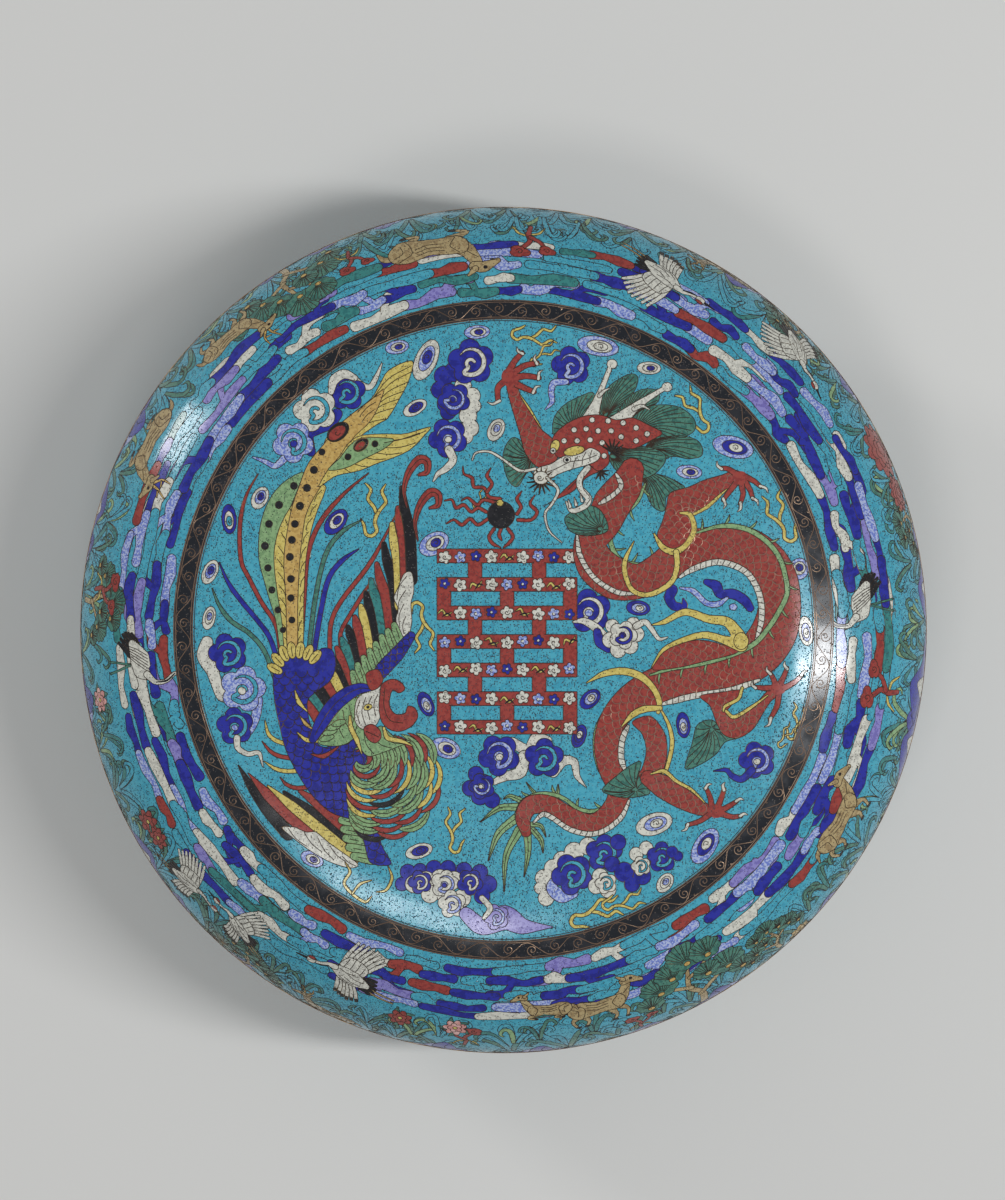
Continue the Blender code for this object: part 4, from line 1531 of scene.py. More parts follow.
def crane(d, x, y, turn, size=1.0, mirrored=False):
    """A flying crane: black tail and throat, a red cap, and pleated white wings."""
    with d.at(x, y, turn, size, mirrored):
        for lift in (0.4, 2.6):
            d.band([(-10, lift), (-18, lift + 1.6), (-27, lift + 2.2)], [1.2, 0.9, 0.8], "tan", 0.5, 0.8)
        feather_fan(d, [
            (-9, -2.4), (-9.5, 3.0)], [(-16, -4.2), (-17, 0.2), (-15, 4.6)], 5, (2.4, 2.4, 1.2), "black",
            0.4)
        feather_fan(d, [
            (-5, 2.6), (3, 2.4)], [(-11, 13.0), (-5, 14.5), (0.5, 12.0)], 6, (1.6, 2.2, 1.6), "white", 0.6,
            "black")
        feather_fan(d, [
            (-7, -3.4), (4.4, -3.2)], [(-16.5, -15.5), (-9, -20.5), (1.5, -19.5)], 8, (1.7, 2.3, 1.5))
        cover = d.shape([
            (-8, -3.0), (-9.6, -8.0), (-4.5, -10.5), (2.5, -9.8), (5.2, -3.4), (0, -1.6)], "white", 0.8,
            0.9)
        strokes(d, cover, [
            (-7.6, -8.6), (-4.6, -10), (-1.4, -10), (1.6, -9.6)],
            [(-6, -3), (-3, -2.4), (0, -2.2), (3.2, -3)], 0.06, 0.5)
        body = d.band([
            (-12, 0.8), (-6, 0.2), (1, -0.3), (7, -1.4)], [3.2, 8.4, 8.2, 3.6], "white", 0.85, 0.8)
        strokes(d, body, [
            (-10, 0), (-9, 2.4), (-6, 3.4), (-5, -2.2)], [(-1, -1), (0, 1.2), (3, 1.8), (4, -2)], 0.08, 0.5)
        d.band([(6, -1.4), (10, -0.8), (13, 1.2), (16.5, 2.2)], [3.2, 2.3, 1.9, 1.8], "white", 0.75, 0.8)
        d.band([(9, -0.2), (12.4, 1.8), (15.4, 2.8)], [0.7, 1.1, 0.6], "black", 0.0, 0.8)
        d.oval(18, 2.4, 2.5, 1.7, "white", 0.75, 8)
        d.oval(18.2, 1.0, 2.0, 0.9, "red", 0.6, 8)
        d.band([(20.2, 2.7), (26, 4.0)], [1.2, 0.4], "black", 0.5, 0.8)


def standing_crane(d, x, y, size=1.0, mirrored=False):
    """A crane on its feet, with its neck bent."""
    with d.at(x, y, 0, size, mirrored):
        for foot in (-2, 3):
            d.band([(0, -12), (foot * 0.6, -6), (foot, 0)], [1.2, 0.9, 0.9], "pine", 0.5, 0.8)
            d.line([(foot - 1, 0.4), (foot + 3, 0.8)], 0.7)
        feather_fan(d, [
            (-6, -17), (-4, -12)], [(-14, -13), (-14.5, -9), (-10, -6)], 6, (2.2, 2.2, 1.1), "black", 0.4)
        body = d.band([
            (-9, -13.5), (-3, -16.5), (3, -17.5), (6, -20)], [4, 9.5, 8.5, 3.4], "white", 0.85, 0.8)
        for number in range(6):
            d.curve([
                (4 - number * 1.5, -20.5), (0.5 - number * 1.4, -16), (-3 - number * 1.0, -12)], 0.5, body,
                step=1.0)
        neck = [(5, -19.5), (9, -23), (9, -28), (6, -32), (8, -35)]
        d.band(neck, [3.4, 2.3, 2.0, 1.9, 1.9], "white", 0.75, 0.8)
        d.band(neck[1:4], [0.5, 1.0, 0.5], "black", 0.0, 0.8)
        d.oval(9, -35.5, 2.4, 1.7, "white", 0.75, -10)
        d.oval(9, -36.8, 1.9, 0.9, "red", 0.6, -10)
        d.band([(11, -35.2), (16.5, -33)], [1.2, 0.4], "black", 0.5, 0.8)


def deer(d, x, y, size=1.0, mirrored=False, resting=False, antlers=True):
    """A tan deer with fine hair lines, on its feet or at rest. Its feet are at the place given."""
    with d.at(x, y, 0, size, mirrored):
        legs = (
            ((-11, -9), (-14, -5), (-12, 0)), ((-8, -8), (-6, -4), (-8, 0)), ((6, -9), (8, -4), (6, 0)),
            ((10, -10), (14, -6), (12.5, 0)))
        if resting:
            legs = (((-11, -6), (-4, -1.6), (-10, -0.6)), ((7, -6), (14, -2.6), (8, -0.8)))
        for leg in legs:
            d.band(leg, [4.4, 1.9, 1.3], "tan", 0.8, 0.8)
            d.oval(leg[-1][0] + 0.6, leg[-1][1] - 0.3, 1.4, 0.7, "black", 0.5)
        with d.at(0, 4.0 if resting else 0.0):
            d.band([(-14, -14), (-18, -13), (-20, -9)], [3, 2.6, 0.7], "tan", 0.75, 0.8)
            if antlers:
                for lean in (-3, 2):
                    d.band([
                        (18, -25), (17 + lean, -30), (19 + lean * 1.6, -35)], [1.5, 1.2, 0.6], "ochre",
                        0.65, 0.8)
                    d.band([(17.4 + lean, -30), (21 + lean, -31)], [1.1, 0.5], "ochre", 0.6, 0.8)
            neck = d.band([(9, -12.5), (13.5, -16.5), (17, -22.5)], [9, 6.4, 4.4], "tan", 0.85, 0.8)
            strokes(d, neck, [(8, -15), (11, -12)], [(15.4, -23), (17.6, -20)], -0.12, 0.5)
            trunk = d.shape([
                (-16, -11), (-15, -16), (-9, -18), (-1, -16.4), (6, -17.4), (13, -17), (14, -12),
                (10, -8.4), (3, -8.6), (-4, -7.6), (-11, -6.4)], "tan", 0.85, 0.9)
            for rise in (0, 1.7, 3.4):
                d.curve([(-6, -15.6 + rise), (-1, -14.4 + rise), (5, -15.2 + rise)], 0.5, trunk, step=0.9)
            d.curve([(-13, -16.6), (-7.4, -14), (-7.6, -9.4), (-9, -6.6)], 0.6, trunk, step=0.9)
            d.curve([(-14.6, -14.4), (-10.6, -12.6), (-11, -8.6)], 0.5, trunk, step=0.9)
            d.curve([(10.6, -17), (7.2, -13.4), (9.4, -9)], 0.6, trunk, step=0.9)
            head = d.band([(15.6, -24), (19.6, -24.4), (25, -21.8)], [4.4, 4.6, 2.3], "tan", 0.85, 0.8)
            d.line([(21, -21.8), (25, -21.2)], 0.5, head)
            d.oval(20, -24.6, 0.8, 0.7, "black", 0.4, count=8)
            d.band([(16, -25), (12.6, -27.8)], [2.7, 0.8], "tan", 0.7, 0.8)


def fungus(d, x, y, size=1.0, mirrored=False):
    """A red branching fungus with curled caps."""
    with d.at(x, y, 0, size, mirrored):
        flame(d, [(-7, 1), (-4, -4), (1, -5)], [0.6, 1.6, 1.0], "yellow")
        flame(d, [(9, 1), (6, -4), (2, -6)], [0.6, 1.6, 1.0], "yellow")
        d.band([(0, 1), (1, -5), (0, -10), (4, -15)], [2.2, 2.8, 2.6, 2.6], "red", 0.8, 0.8)
        d.band([(0, -7), (-5, -10), (-8, -14)], [2.6, 2.2, 2.0], "red", 0.8, 0.8)
        for cx, cy, radius in ((5, -17, 4.2), (-9, -15.5, 3.5)):
            with d.at(cx, cy, 10):
                d.cell(lobed(radius, 3, 0.2) @ np.array([[1.25, 0], [0, 0.8]]), "red", 0.8)
                d.line(spiral(0, 0, radius * 0.5, 1.2), 0.6)


def flower(d, x, y, size, petals, full):
    """A flower on its leaves, single or with many ruffled petals."""
    with d.at(x, y, 0, size):
        for angle in (20, 95, 165, 240, 310):
            flame(d, [
                (0, 0), (math.cos(math.radians(angle)) * 6, math.sin(math.radians(angle)) * 6),
                (math.cos(math.radians(angle + 14)) * 10.5, math.sin(math.radians(angle + 14)) * 10.5)],
                [1.0, 4.0, 0.6], "pine")
        if full:
            for radius, lobes, cx, cy in (
                (11.0, 10, 0, 0), (8.4, 8, 0.8, 0.6), (5.8, 7, -0.4, 1.4), (3.2, 5, 0.4, 2.0),
            ):
                with d.at(cx, cy, radius * 23):
                    d.cell(lobed(radius, lobes, 0.16), petals, 0.6)
        else:
            d.cell(lobed(6.6, 7, 0.24), petals, 0.8)
            d.cell(lobed(4.0, 5, 0.24), petals, 0.6)
            d.oval(0, 0, 1.4, 1.4, "yellow", 0.6)


def pine_tree(d, x, y, size=1.0, mirrored=False):
    """A pine with forked pale boughs and round tufts of needles."""
    with d.at(x, y, 0, size, mirrored):
        for bough, width in (
            ([(0, 2), (1, -10), (-3, -18), (0, -30)], [3.4, 3.0, 2.6, 1.8]),
            ([(0, -9), (8, -15), (15, -18)], [2.6, 2.2, 1.5]),
            ([(-2, -17), (-9, -21), (-15, -23)], [2.4, 2.0, 1.3]),
            ([(-1, -24), (6, -27), (11, -31)], [2.0, 1.7, 1.1]),
        ):
            d.band(bough, width, "tan", 0.85, 0.8)
        for cx, cy, radius in (
            (16, -21, 7.8), (7, -23, 5.6), (-15, -26, 7.6), (-8, -31, 6.6), (1, -36, 8.0), (11, -34, 6.8),
            (21, -13, 5.4), (-21, -18, 5.6),
        ):
            with d.at(cx, cy):
                tuft_cell = d.cell(lobed(radius, 9, 0.07) @ np.array([[1.15, 0], [0, 0.86]]), "pine", 0.85)
                for angle in np.linspace(-3.05, -0.1, 11):
                    bend = 0.1 if angle < -1.57 else -0.1
                    near, far = radius * 0.2, radius * 1.02
                    root = (math.cos(angle) * near, math.sin(angle) * near * 0.8 + radius * 0.4)
                    tip = (math.cos(angle + bend) * far * 1.1, math.sin(angle + bend) * far * 0.84)
                    d.line([root, tip], 0.42, tuft_cell)
                d.oval(0, radius * 0.5, 1.6, 1.1, "ochre", 0.5)


def grass(d, x, y, size, chance):
    """A tuft of long blades that curl over at the tip."""
    with d.at(x, y, 0, size):
        for number in range(int(chance.integers(4, 7))):
            side = 1 if number % 2 else -1
            tall = float(chance.uniform(7, 15))
            lean = side * float(chance.uniform(2, 9))
            hook = side * float(chance.uniform(2.2, 4.2))
            blade = [
                (side * 0.6, 1), (lean * 0.4, -tall * 0.5), (lean, -tall), (lean + hook, -tall - 0.6),
                (lean + hook * 1.5, -tall + 2.6), (lean + hook * 0.9, -tall + 4.4)]
            pick = (
                "turquoise", "teal", "pine", "turquoise", "teal", "turquoise", "pine",
                "sage")[int(chance.integers(8))]
            d.band(blade, [1.5, 2.2, 2.2, 1.9, 1.4, 0.5], pick, 0.75, 0.9)


def rock(d, x, y, size, chance):
    """A ribbed garden rock in blues with a white face."""
    with d.at(x, y, 0, size, bool(chance.integers(2))):
        for cx, cy, wide, high, enamel in (
            (-6, -3, 6, 6, "cobalt"), (2, -5, 6, 8, "lavender"), (8, -2, 5, 5, "cobalt"),
            (-1, -10, 4.5, 6, "cobalt"), (4, -1, 5, 4, "white"), (-9, 0, 4.5, 3.6, "purple"),
        ):
            face = d.shape([
                (cx - wide, cy + high * 0.6), (cx - wide * 0.8, cy - high * 0.4),
                (cx - wide * 0.2, cy - high), (cx + wide * 0.5, cy - high * 0.8),
                (cx + wide, cy - high * 0.1), (cx + wide * 0.9, cy + high * 0.7)], enamel, 0.85, 0.9)
            d.curve([
                (cx - wide * 0.3, cy - high * 0.6), (cx, cy), (cx - wide * 0.1, cy + high * 0.6)], 0.5,
                face, step=0.9)


def cliff(d, x, y, size):
    """Low cobalt rocks along the rim, with a white drop in the biggest."""
    with d.at(x, y, 0, size):
        d.shape([
            (-24, 3), (-20, -4), (-13, -9), (-7, -6), (0, -15), (8, -19), (14, -11), (21, -8), (26, 3)],
            "cobalt", 0.9, 1.2)
        d.shape([(2, 0), (4, -8), (8, -14), (10, -7), (9, 0)], "white", 0.8, 1.0)
        d.curve([(-15, -2), (-12, -6), (-8, -3)], 0.6, step=1.0)
        d.curve([(14, 0), (16, -5), (20, -3)], 0.6, step=1.0)


def on_shoulder(sheet, across, down):
    """The place on the shoulder's drawing that the camera sees at a spot of its picture."""
    x, y = across - MIDDLE[0], MIDDLE[1] - down
    away = math.hypot(x, y)
    seen = lid.radius / ((CAMERA_HEIGHT - lid.height) * PIXEL_SPREAD)
    reach = min(away, seen[-1] - 1.0)
    along = float(np.interp(reach, seen, lid.along))
    return (math.atan2(y, x) / TURN % 1.0) * sheet.period, (along - sheet.first) * 1000


def placed(d, sheet, motif, spots, drop=0):
    """Draws a motif at spots of the camera's picture, each with its own size and ways."""
    for across, down, *ways in spots:
        x, y = on_shoulder(sheet, across, down)
        motif(d, x, y + drop, *ways)


# Pixels across and down the picture where the shoulder's motifs stand, then what each one takes
CLIFFS = (
    (905, 610, 1.3),
    (912, 712, 1.7),
    (900, 765, 1.5),
    (104, 488, 1.3),
    (130, 842, 1.3),
    (640, 1040, 1.0),
    (330, 240, 1.0),
)
PINES = (
    (700, 992, 1.15, False),
    (285, 276, 1.1, True),
    (775, 940, 0.7, True),
    (96, 600, 0.8, False),
    (806, 318, 0.8, False),
    (908, 520, 0.7, True),
    (240, 965, 0.8, True),
)
FUNGI = (
    (530, 240, 1.0, False),
    (884, 690, 1.1, True),
    (106, 590, 0.9, True),
    (465, 1036, 0.8, False),
    (640, 1020, 0.7, True),
    (352, 262, 0.8, False),
)
FLOWERS = (
    (148, 822, 0.9, "red", False),
    (158, 838, 0.8, "red", False),
    (880, 450, 1.15, "red", True),
    (898, 493, 0.75, "red", True),
    (455, 1028, 0.8, "pink", False),
    (100, 700, 0.8, "pink", False),
    (800, 930, 0.8, "ochre", False),
    (400, 1018, 0.8, "red", False),
)
DEER = (
    (430, 244, 1.35, True, True, False),
    (225, 335, 1.0, True, False, True),
    (150, 440, 1.1, False, True, True),
    (846, 826, 1.12, False, False, False),
    (600, 1012, 1.0, False, False, False),
    (548, 1006, 0.75, True, True, False),
    (330, 1012, 0.8, True, True, True),
    (735, 262, 0.8, False, True, True),
)
CRANES = (
    (668, 278, 16, 1.1, True),
    (800, 352, 34, 1.05, True),
    (345, 975, 4, 1.05, True),
    (190, 885, -14, 0.9, False),
    (236, 925, 18, 0.85, True),
)
STANDING_CRANES = (
    (872, 605, 1.2, True),
    (130, 665, 1.2, False),
)


def shoulder_drawing(sheet):
    """Cranes, deer, pines, rocks and fungus under drifting clouds."""
    d = Drawing("turquoise", sheet.period)
    chance = np.random.default_rng(11)
    drifting_clouds(d, sheet.period, (5.4, 12.0, 18.6, 25.2, 31.6), chance)
    high = sheet.high
    for row_y, count, first, last in ((high + 1, 56, 1.1, 1.45), (67, 54, 1.0, 1.35), (54, 54, 0.85, 1.25)):
        for number in range(count):
            x = (number + float(chance.uniform(0.1, 0.9))) * sheet.period / count
            grass(d, x, row_y + float(chance.uniform(-3, 3)), float(chance.uniform(first, last)), chance)
    for number in range(16):
        x = (number + float(chance.uniform(0.2, 0.8))) * sheet.period / 16
        rock(d, x, high - float(chance.uniform(-1, 7)), float(chance.uniform(1.1, 1.5)), chance)
    for across, down, size in CLIFFS:
        cliff(d, on_shoulder(sheet, across, down)[0], high, size)
    placed(d, sheet, pine_tree, PINES, 12)
    placed(d, sheet, fungus, FUNGI, 9)
    placed(d, sheet, flower, FLOWERS)
    placed(d, sheet, deer, DEER, 9)
    placed(d, sheet, crane, CRANES)
    placed(d, sheet, standing_crane, STANDING_CRANES, 14)
    return d


def bowl_drawing(sheet):
    """The bowl's side, in keeping but plainer: clouds, cranes and tufts, and a petal border."""
    d = Drawing("turquoise", sheet.period)
    chance = np.random.default_rng(23)
    drifting_clouds(d, sheet.period, (8.0, 14.6, 21.2), chance, 4.6, (8.0, 30.0))
    high = sheet.high
    ground = high * 0.6
    for row_y in (ground + 24, ground + 13, ground + 3):
        for number in range(40):
            x = (number + float(chance.uniform(0.1, 0.9))) * sheet.period / 40
            grass(d, x, row_y + float(chance.uniform(-2, 2)), float(chance.uniform(0.8, 1.1)), chance)
    for number in range(16):
        x = (number + 0.5) * sheet.period / 16
        if number % 4 == 0:
            pine_tree(d, x, ground + 4, 0.9, bool(number % 8))
        elif number % 4 == 1:
            crane(d, x, ground * 0.56, -8, 1.2, bool(number % 8 > 3))
            rock(d, x + 12, ground + 14, 1.2, chance)
        elif number % 4 == 2:
            deer(d, x, ground, 1.0, bool(number % 8 > 3))
        else:
            rock(d, x - 8, ground + 4, 1.2, chance)
            fungus(d, x + 12, ground + 2)
    d.line([(0, 3.2), (sheet.period, 3.2)], 1.2)
    d.cell([
        (-5, high - 8.5), (sheet.period + 5, high - 8.5), (sheet.period + 5, high + 3), (-5, high + 3)],
        "border black", 1.2)
    count = 96
    for number in range(count):
        x = (number + 0.5) * sheet.period / count
        petal = smooth([
            (x - 4.6, high + 1), (x - 4.6, high - 3.5), (x, high - 7.4), (x + 4.6, high - 3.5),
            (x + 4.6, high + 1)], step=0.9)
        d.cell(petal, ("cobalt", "red", "white", "teal")[number % 4], 0.8)
        d.curve([(x - 2.4, high), (x, high - 4.8), (x + 2.4, high)], 0.6, step=0.9)
    return d


# Materials

def linear(red, green, blue):
    """A colour as the eye names it, from 0 to 255, in the renderer's own linear values."""
    shares = [channel / 255 for channel in (red, green, blue)]
    return tuple([share / 12.92 if share < 0.04045 else ((share + 0.055) / 1.055) ** 2.4
                  for share in shares] + [1.0])


def new_group(name, inputs, outputs):
    tree = bpy.data.node_groups.new(name, "ShaderNodeTree")
    for label, kind in inputs:
        tree.interface.new_socket(label, in_out="INPUT", socket_type="NodeSocket" + kind)
    for label, kind in outputs:
        tree.interface.new_socket(label, in_out="OUTPUT", socket_type="NodeSocket" + kind)
    return tree, tree.nodes.new("NodeGroupInput"), tree.nodes.new("NodeGroupOutput")


def feed(tree, value, socket):
    """Gives a socket a number, or a link from another socket."""
    if isinstance(value, (int, float)):
        socket.default_value = value
    else:
        tree.links.new(value, socket)


def noise_node(tree, where, scale, detail, roughness=0.55):
    node = tree.nodes.new("ShaderNodeTexNoise")
    node.inputs["Detail"].default_value = detail
    node.inputs["Roughness"].default_value = roughness
    feed(tree, where, node.inputs["Vector"])
    feed(tree, scale, node.inputs["Scale"])
    return node.outputs["Fac"]


def ramped(tree, value, low, high, start=0.0, end=1.0):
    """A value spread from start to end as it goes from low to high."""
    node = tree.nodes.new("ShaderNodeMapRange")
    node.interpolation_type = "SMOOTHSTEP"
    for label, given in (("Value", value), ("From Min", low), ("From Max", high),
                         ("To Min", start), ("To Max", end)):
        feed(tree, given, node.inputs[label])
    return node.outputs["Result"]


def calculated(tree, operation, first, second):
    node = tree.nodes.new("ShaderNodeMath")
    node.operation = operation
    feed(tree, first, node.inputs[0])
    feed(tree, second, node.inputs[1])
    return node.outputs[0]


def mixed(tree, share, first, second):
    node = tree.nodes.new("ShaderNodeMix")
    node.data_type = "RGBA"
    tree.links.new(share, node.inputs["Factor"])
    tree.links.new(first, node.inputs[6])
    tree.links.new(second, node.inputs[7])
    return node.outputs[2]


def fired_enamel():
    """Ground and polished enamel: clouded colour, dark pits of burst bubbles, and a soft haze."""
    tree, given, out = new_group("fired enamel", [
        ("Place", "Vector"), ("Colour", "Color"), ("Second colour", "Color"), ("Pit colour", "Color"),
        ("Patch scale", "Float"), ("Patch share", "Float"), ("Pit scale", "Float"), ("Pit size", "Float"),
        ("Pitting", "Float"),
    ], [("Colour", "Color"), ("Roughness", "Float"), ("Height", "Float")])
    place = given.outputs["Place"]
    patches = noise_node(tree, place, given.outputs["Patch scale"], 3.0)
    rarity = calculated(tree, "MULTIPLY", given.outputs["Patch share"], 0.33)
    high = calculated(tree, "SUBTRACT", 0.70, rarity)
    low = calculated(tree, "SUBTRACT", high, 0.08)
    patch = ramped(tree, patches, low, high)
    colour = mixed(tree, patch, given.outputs["Colour"], given.outputs["Second colour"])
    broad = noise_node(tree, place, 22.0, 2.0)
    crowding = ramped(tree, broad, 0.32, 0.68, 0.6, 1.3)
    limit = calculated(tree, "MULTIPLY", given.outputs["Pitting"], crowding)
    cells = tree.nodes.new("ShaderNodeTexVoronoi")
    tree.links.new(place, cells.inputs["Vector"])
    tree.links.new(given.outputs["Pit scale"], cells.inputs["Scale"])
    parts = tree.nodes.new("ShaderNodeSeparateColor")
    tree.links.new(cells.outputs["Color"], parts.inputs["Color"])
    chance = calculated(tree, "LESS_THAN", parts.outputs["Red"], limit)
    size = calculated(tree, "MULTIPLY", parts.outputs["Green"], given.outputs["Pit size"])
    outer = calculated(tree, "ADD", size, 0.08)
    inner = calculated(tree, "MULTIPLY", outer, 0.6)
    pit = ramped(tree, cells.outputs["Distance"], inner, outer, 1.0, 0.0)
    pit = calculated(tree, "MULTIPLY", pit, chance)
    colour = mixed(tree, pit, colour, given.outputs["Pit colour"])
    haze = noise_node(tree, place, 60.0, 4.0)
    polish = ramped(tree, haze, 0.3, 0.75, 0.11, 0.24)
    dull = calculated(tree, "MULTIPLY", pit, 0.45)
    rough = calculated(tree, "ADD", polish, dull)
    height = calculated(tree, "MULTIPLY", pit, -1.0)
    tree.links.new(colour, out.inputs["Colour"])
    tree.links.new(rough, out.inputs["Roughness"])
    tree.links.new(height, out.inputs["Height"])
    return tree


def worn_gilding():
    """Mercury gilding: bright gold, thin and brown where it is rubbed or tarnished."""
    tree, given, out = new_group("worn gilding", [
        ("Place", "Vector"), ("Gold", "Color"), ("Tarnish", "Color"), ("Scale", "Float"), ("Wear", "Float"),
    ], [("Colour", "Color"), ("Roughness", "Float"), ("Height", "Float")])
    place = given.outputs["Place"]
    cloud = noise_node(tree, place, given.outputs["Scale"], 5.0, 0.62)
    high = calculated(tree, "SUBTRACT", 0.85, given.outputs["Wear"])
    low = calculated(tree, "SUBTRACT", high, 0.22)
    worn = ramped(tree, cloud, low, high)
    grain = noise_node(tree, place, 900.0, 2.0)
    colour = mixed(tree, worn, given.outputs["Gold"], given.outputs["Tarnish"])
    rough = ramped(tree, worn, 0.0, 1.0, 0.27, 0.52)
    tree.links.new(colour, out.inputs["Colour"])
    tree.links.new(rough, out.inputs["Roughness"])
    tree.links.new(grain, out.inputs["Height"])
    return tree


enamel_group = fired_enamel()
gilding_group = worn_gilding()


def finished(name, group, values, bump, metallic=0.0):
    """A material whose pattern comes from one of the groups, with its own values."""
    material = bpy.data.materials.new(name)
    material.use_nodes = True
    tree = material.node_tree
    shader = tree.nodes["Principled BSDF"]
    where = tree.nodes.new("ShaderNodeTexCoord")
    pattern = tree.nodes.new("ShaderNodeGroup")
    pattern.node_tree = group
    tree.links.new(where.outputs["Object"], pattern.inputs["Place"])
    for label, value in values.items():
        pattern.inputs[label].default_value = value
    tree.links.new(pattern.outputs["Colour"], shader.inputs["Base Color"])
    tree.links.new(pattern.outputs["Roughness"], shader.inputs["Roughness"])
    if bump:
        relief = tree.nodes.new("ShaderNodeBump")
        relief.inputs["Strength"].default_value = 0.6
        relief.inputs["Distance"].default_value = bump
        tree.links.new(pattern.outputs["Height"], relief.inputs["Height"])
        tree.links.new(relief.outputs["Normal"], shader.inputs["Normal"])
    shader.inputs["Metallic"].default_value = metallic
    shader.inputs["IOR"].default_value = 1.5
    return material


def enamel(name, colour, second, pit_colour, patch_scale, patch_share, pit_scale, pit_size, pitting):
    return finished(name, enamel_group, {
        "Colour": linear(*colour), "Second colour": linear(*second), "Pit colour": linear(*pit_colour),
        "Patch scale": patch_scale, "Patch share": patch_share,
        "Pit scale": pit_scale, "Pit size": pit_size, "Pitting": pitting,
    }, 0.00012)


# An enamel's name, its two colours and its pits' colour, then the scale and share of the second colour
# and the scale, size and share of the pits
ENAMELS = {
    "turquoise": ("turquoise enamel", (74, 162, 182), (60, 148, 172), (18, 42, 52),
        420, 0.4, 1500, 0.6, 0.75),
    "teal": ("teal enamel", (58, 128, 124), (44, 108, 108), (20, 38, 40),
        400, 0.4, 1400, 0.55, 0.5),
    "cobalt": ("cobalt enamel", (40, 46, 150), (30, 34, 126), (16, 16, 60),
        300, 0.4, 1400, 0.5, 0.3),
    "red": ("brick red enamel", (150, 62, 54), (132, 50, 46), (70, 28, 26),
        500, 0.4, 1400, 0.5, 0.45),
    "white": ("warm white enamel", (208, 206, 194), (184, 182, 172), (92, 86, 76),
        500, 0.4, 1400, 0.55, 0.5),
    "lavender": ("lavender enamel", (172, 182, 212), (106, 122, 192), (56, 60, 104),
        1000, 0.5, 1400, 0.5, 0.35),
    "purple": ("purple enamel", (136, 130, 190), (112, 104, 170), (50, 40, 84),
        500, 0.4, 1400, 0.5, 0.35),
    "yellow": ("yellow enamel", (204, 186, 104), (186, 166, 86), (80, 68, 38),
        500, 0.4, 1400, 0.55, 0.5),
    "ochre": ("ochre enamel", (194, 162, 94), (176, 142, 78), (78, 58, 32),
        500, 0.4, 1400, 0.55, 0.5),
    "sage": ("sage enamel", (134, 166, 118), (114, 146, 102), (50, 68, 46),
        500, 0.4, 1400, 0.55, 0.5),
    "pine": ("pine green enamel", (74, 124, 108), (54, 102, 92), (20, 38, 34),
        400, 0.4, 1400, 0.5, 0.5),
    "black": ("black enamel", (25, 25, 28), (36, 35, 38), (64, 58, 54),
        300, 0.3, 1400, 0.5, 0.25),
    "border black": ("border black enamel", (24, 27, 33), (36, 37, 42), (72, 62, 56),
        120, 0.3, 1300, 0.5, 0.25),
    "tan": ("tan enamel", (172, 152, 110), (148, 126, 88), (78, 60, 40),
        400, 0.4, 1400, 0.55, 0.55),
    "lining": ("turquoise lining enamel", (80, 164, 184), (64, 148, 174), (36, 64, 72),
        40, 0.3, 1000, 0.5, 0.4),
    "pink": ("pink enamel", (200, 140, 134), (214, 172, 166), (104, 60, 56),
        200, 0.35, 1150, 0.5, 0.3),
}
enamels = {key: enamel(*look) for key, look in ENAMELS.items()}


def gilt(name, gold, tarnish, scale, wear, bump=0.00002, metallic=1.0):
    return finished(name, gilding_group, {
        "Gold": linear(*gold), "Tarnish": linear(*tarnish), "Scale": scale, "Wear": wear,
    }, bump, metallic)


wire_gilt = gilt("darkened wire gilding", (124, 98, 64), (58, 46, 38), 60.0, 0.42, 0.0, 0.8)
scale_gilt = gilt("bright wire gilding", (178, 136, 116), (126, 96, 82), 60.0, 0.40, 0.0, 0.85)
border_gilt = gilt("border wire gilding", (170, 142, 118), (112, 90, 74), 60.0, 0.34, 0.0, 0.85)
band_gilt = gilt("band gilding", (206, 160, 88), (126, 86, 52), 48.0, 0.30)
rim_copper = gilt("worn copper edge", (168, 112, 74), (96, 62, 44), 70.0, 0.34)


# Turned pieces

def revolve(name, section, count, materials, slots=None, smooth_limit=math.radians(35)):
    """A closed section of (radius, height) points turned round the box's axis."""
    angles = np.linspace(0, TURN, count, endpoint=False)
    rings = len(section)
    spots = []
    for angle in angles:
        spots.extend((math.cos(angle) * r, math.sin(angle) * r, z) for r, z in section)
    faces, indices = [], []
    for turn in range(count):
        here, there = turn * rings, (turn + 1) % count * rings
        for step in range(rings):
            ahead = (step + 1) % rings
            faces.append((here + step, here + ahead, there + ahead, there + step))
            indices.append(slots[step] if slots else 0)
    mesh = bpy.data.meshes.new(name)
    mesh.from_pydata(spots, [], faces)
    for material in materials:
        mesh.materials.append(material)
    mesh.polygons.foreach_set("material_index", indices)
    close_up(mesh)
    mesh.shade_smooth()
    mesh.set_sharp_from_angle(angle=smooth_limit)
    piece = bpy.data.objects.new(name, mesh)
    bpy.context.scene.collection.objects.link(piece)
    return piece


def close_up(mesh):
    """Joins the points on the axis into one and turns all faces outwards."""
    work = bmesh.new()
    work.from_mesh(mesh)
    bmesh.ops.remove_doubles(work, verts=work.verts, dist=0.00002)
    bmesh.ops.recalc_face_normals(work, faces=work.faces)
    work.to_mesh(mesh)
    work.free()


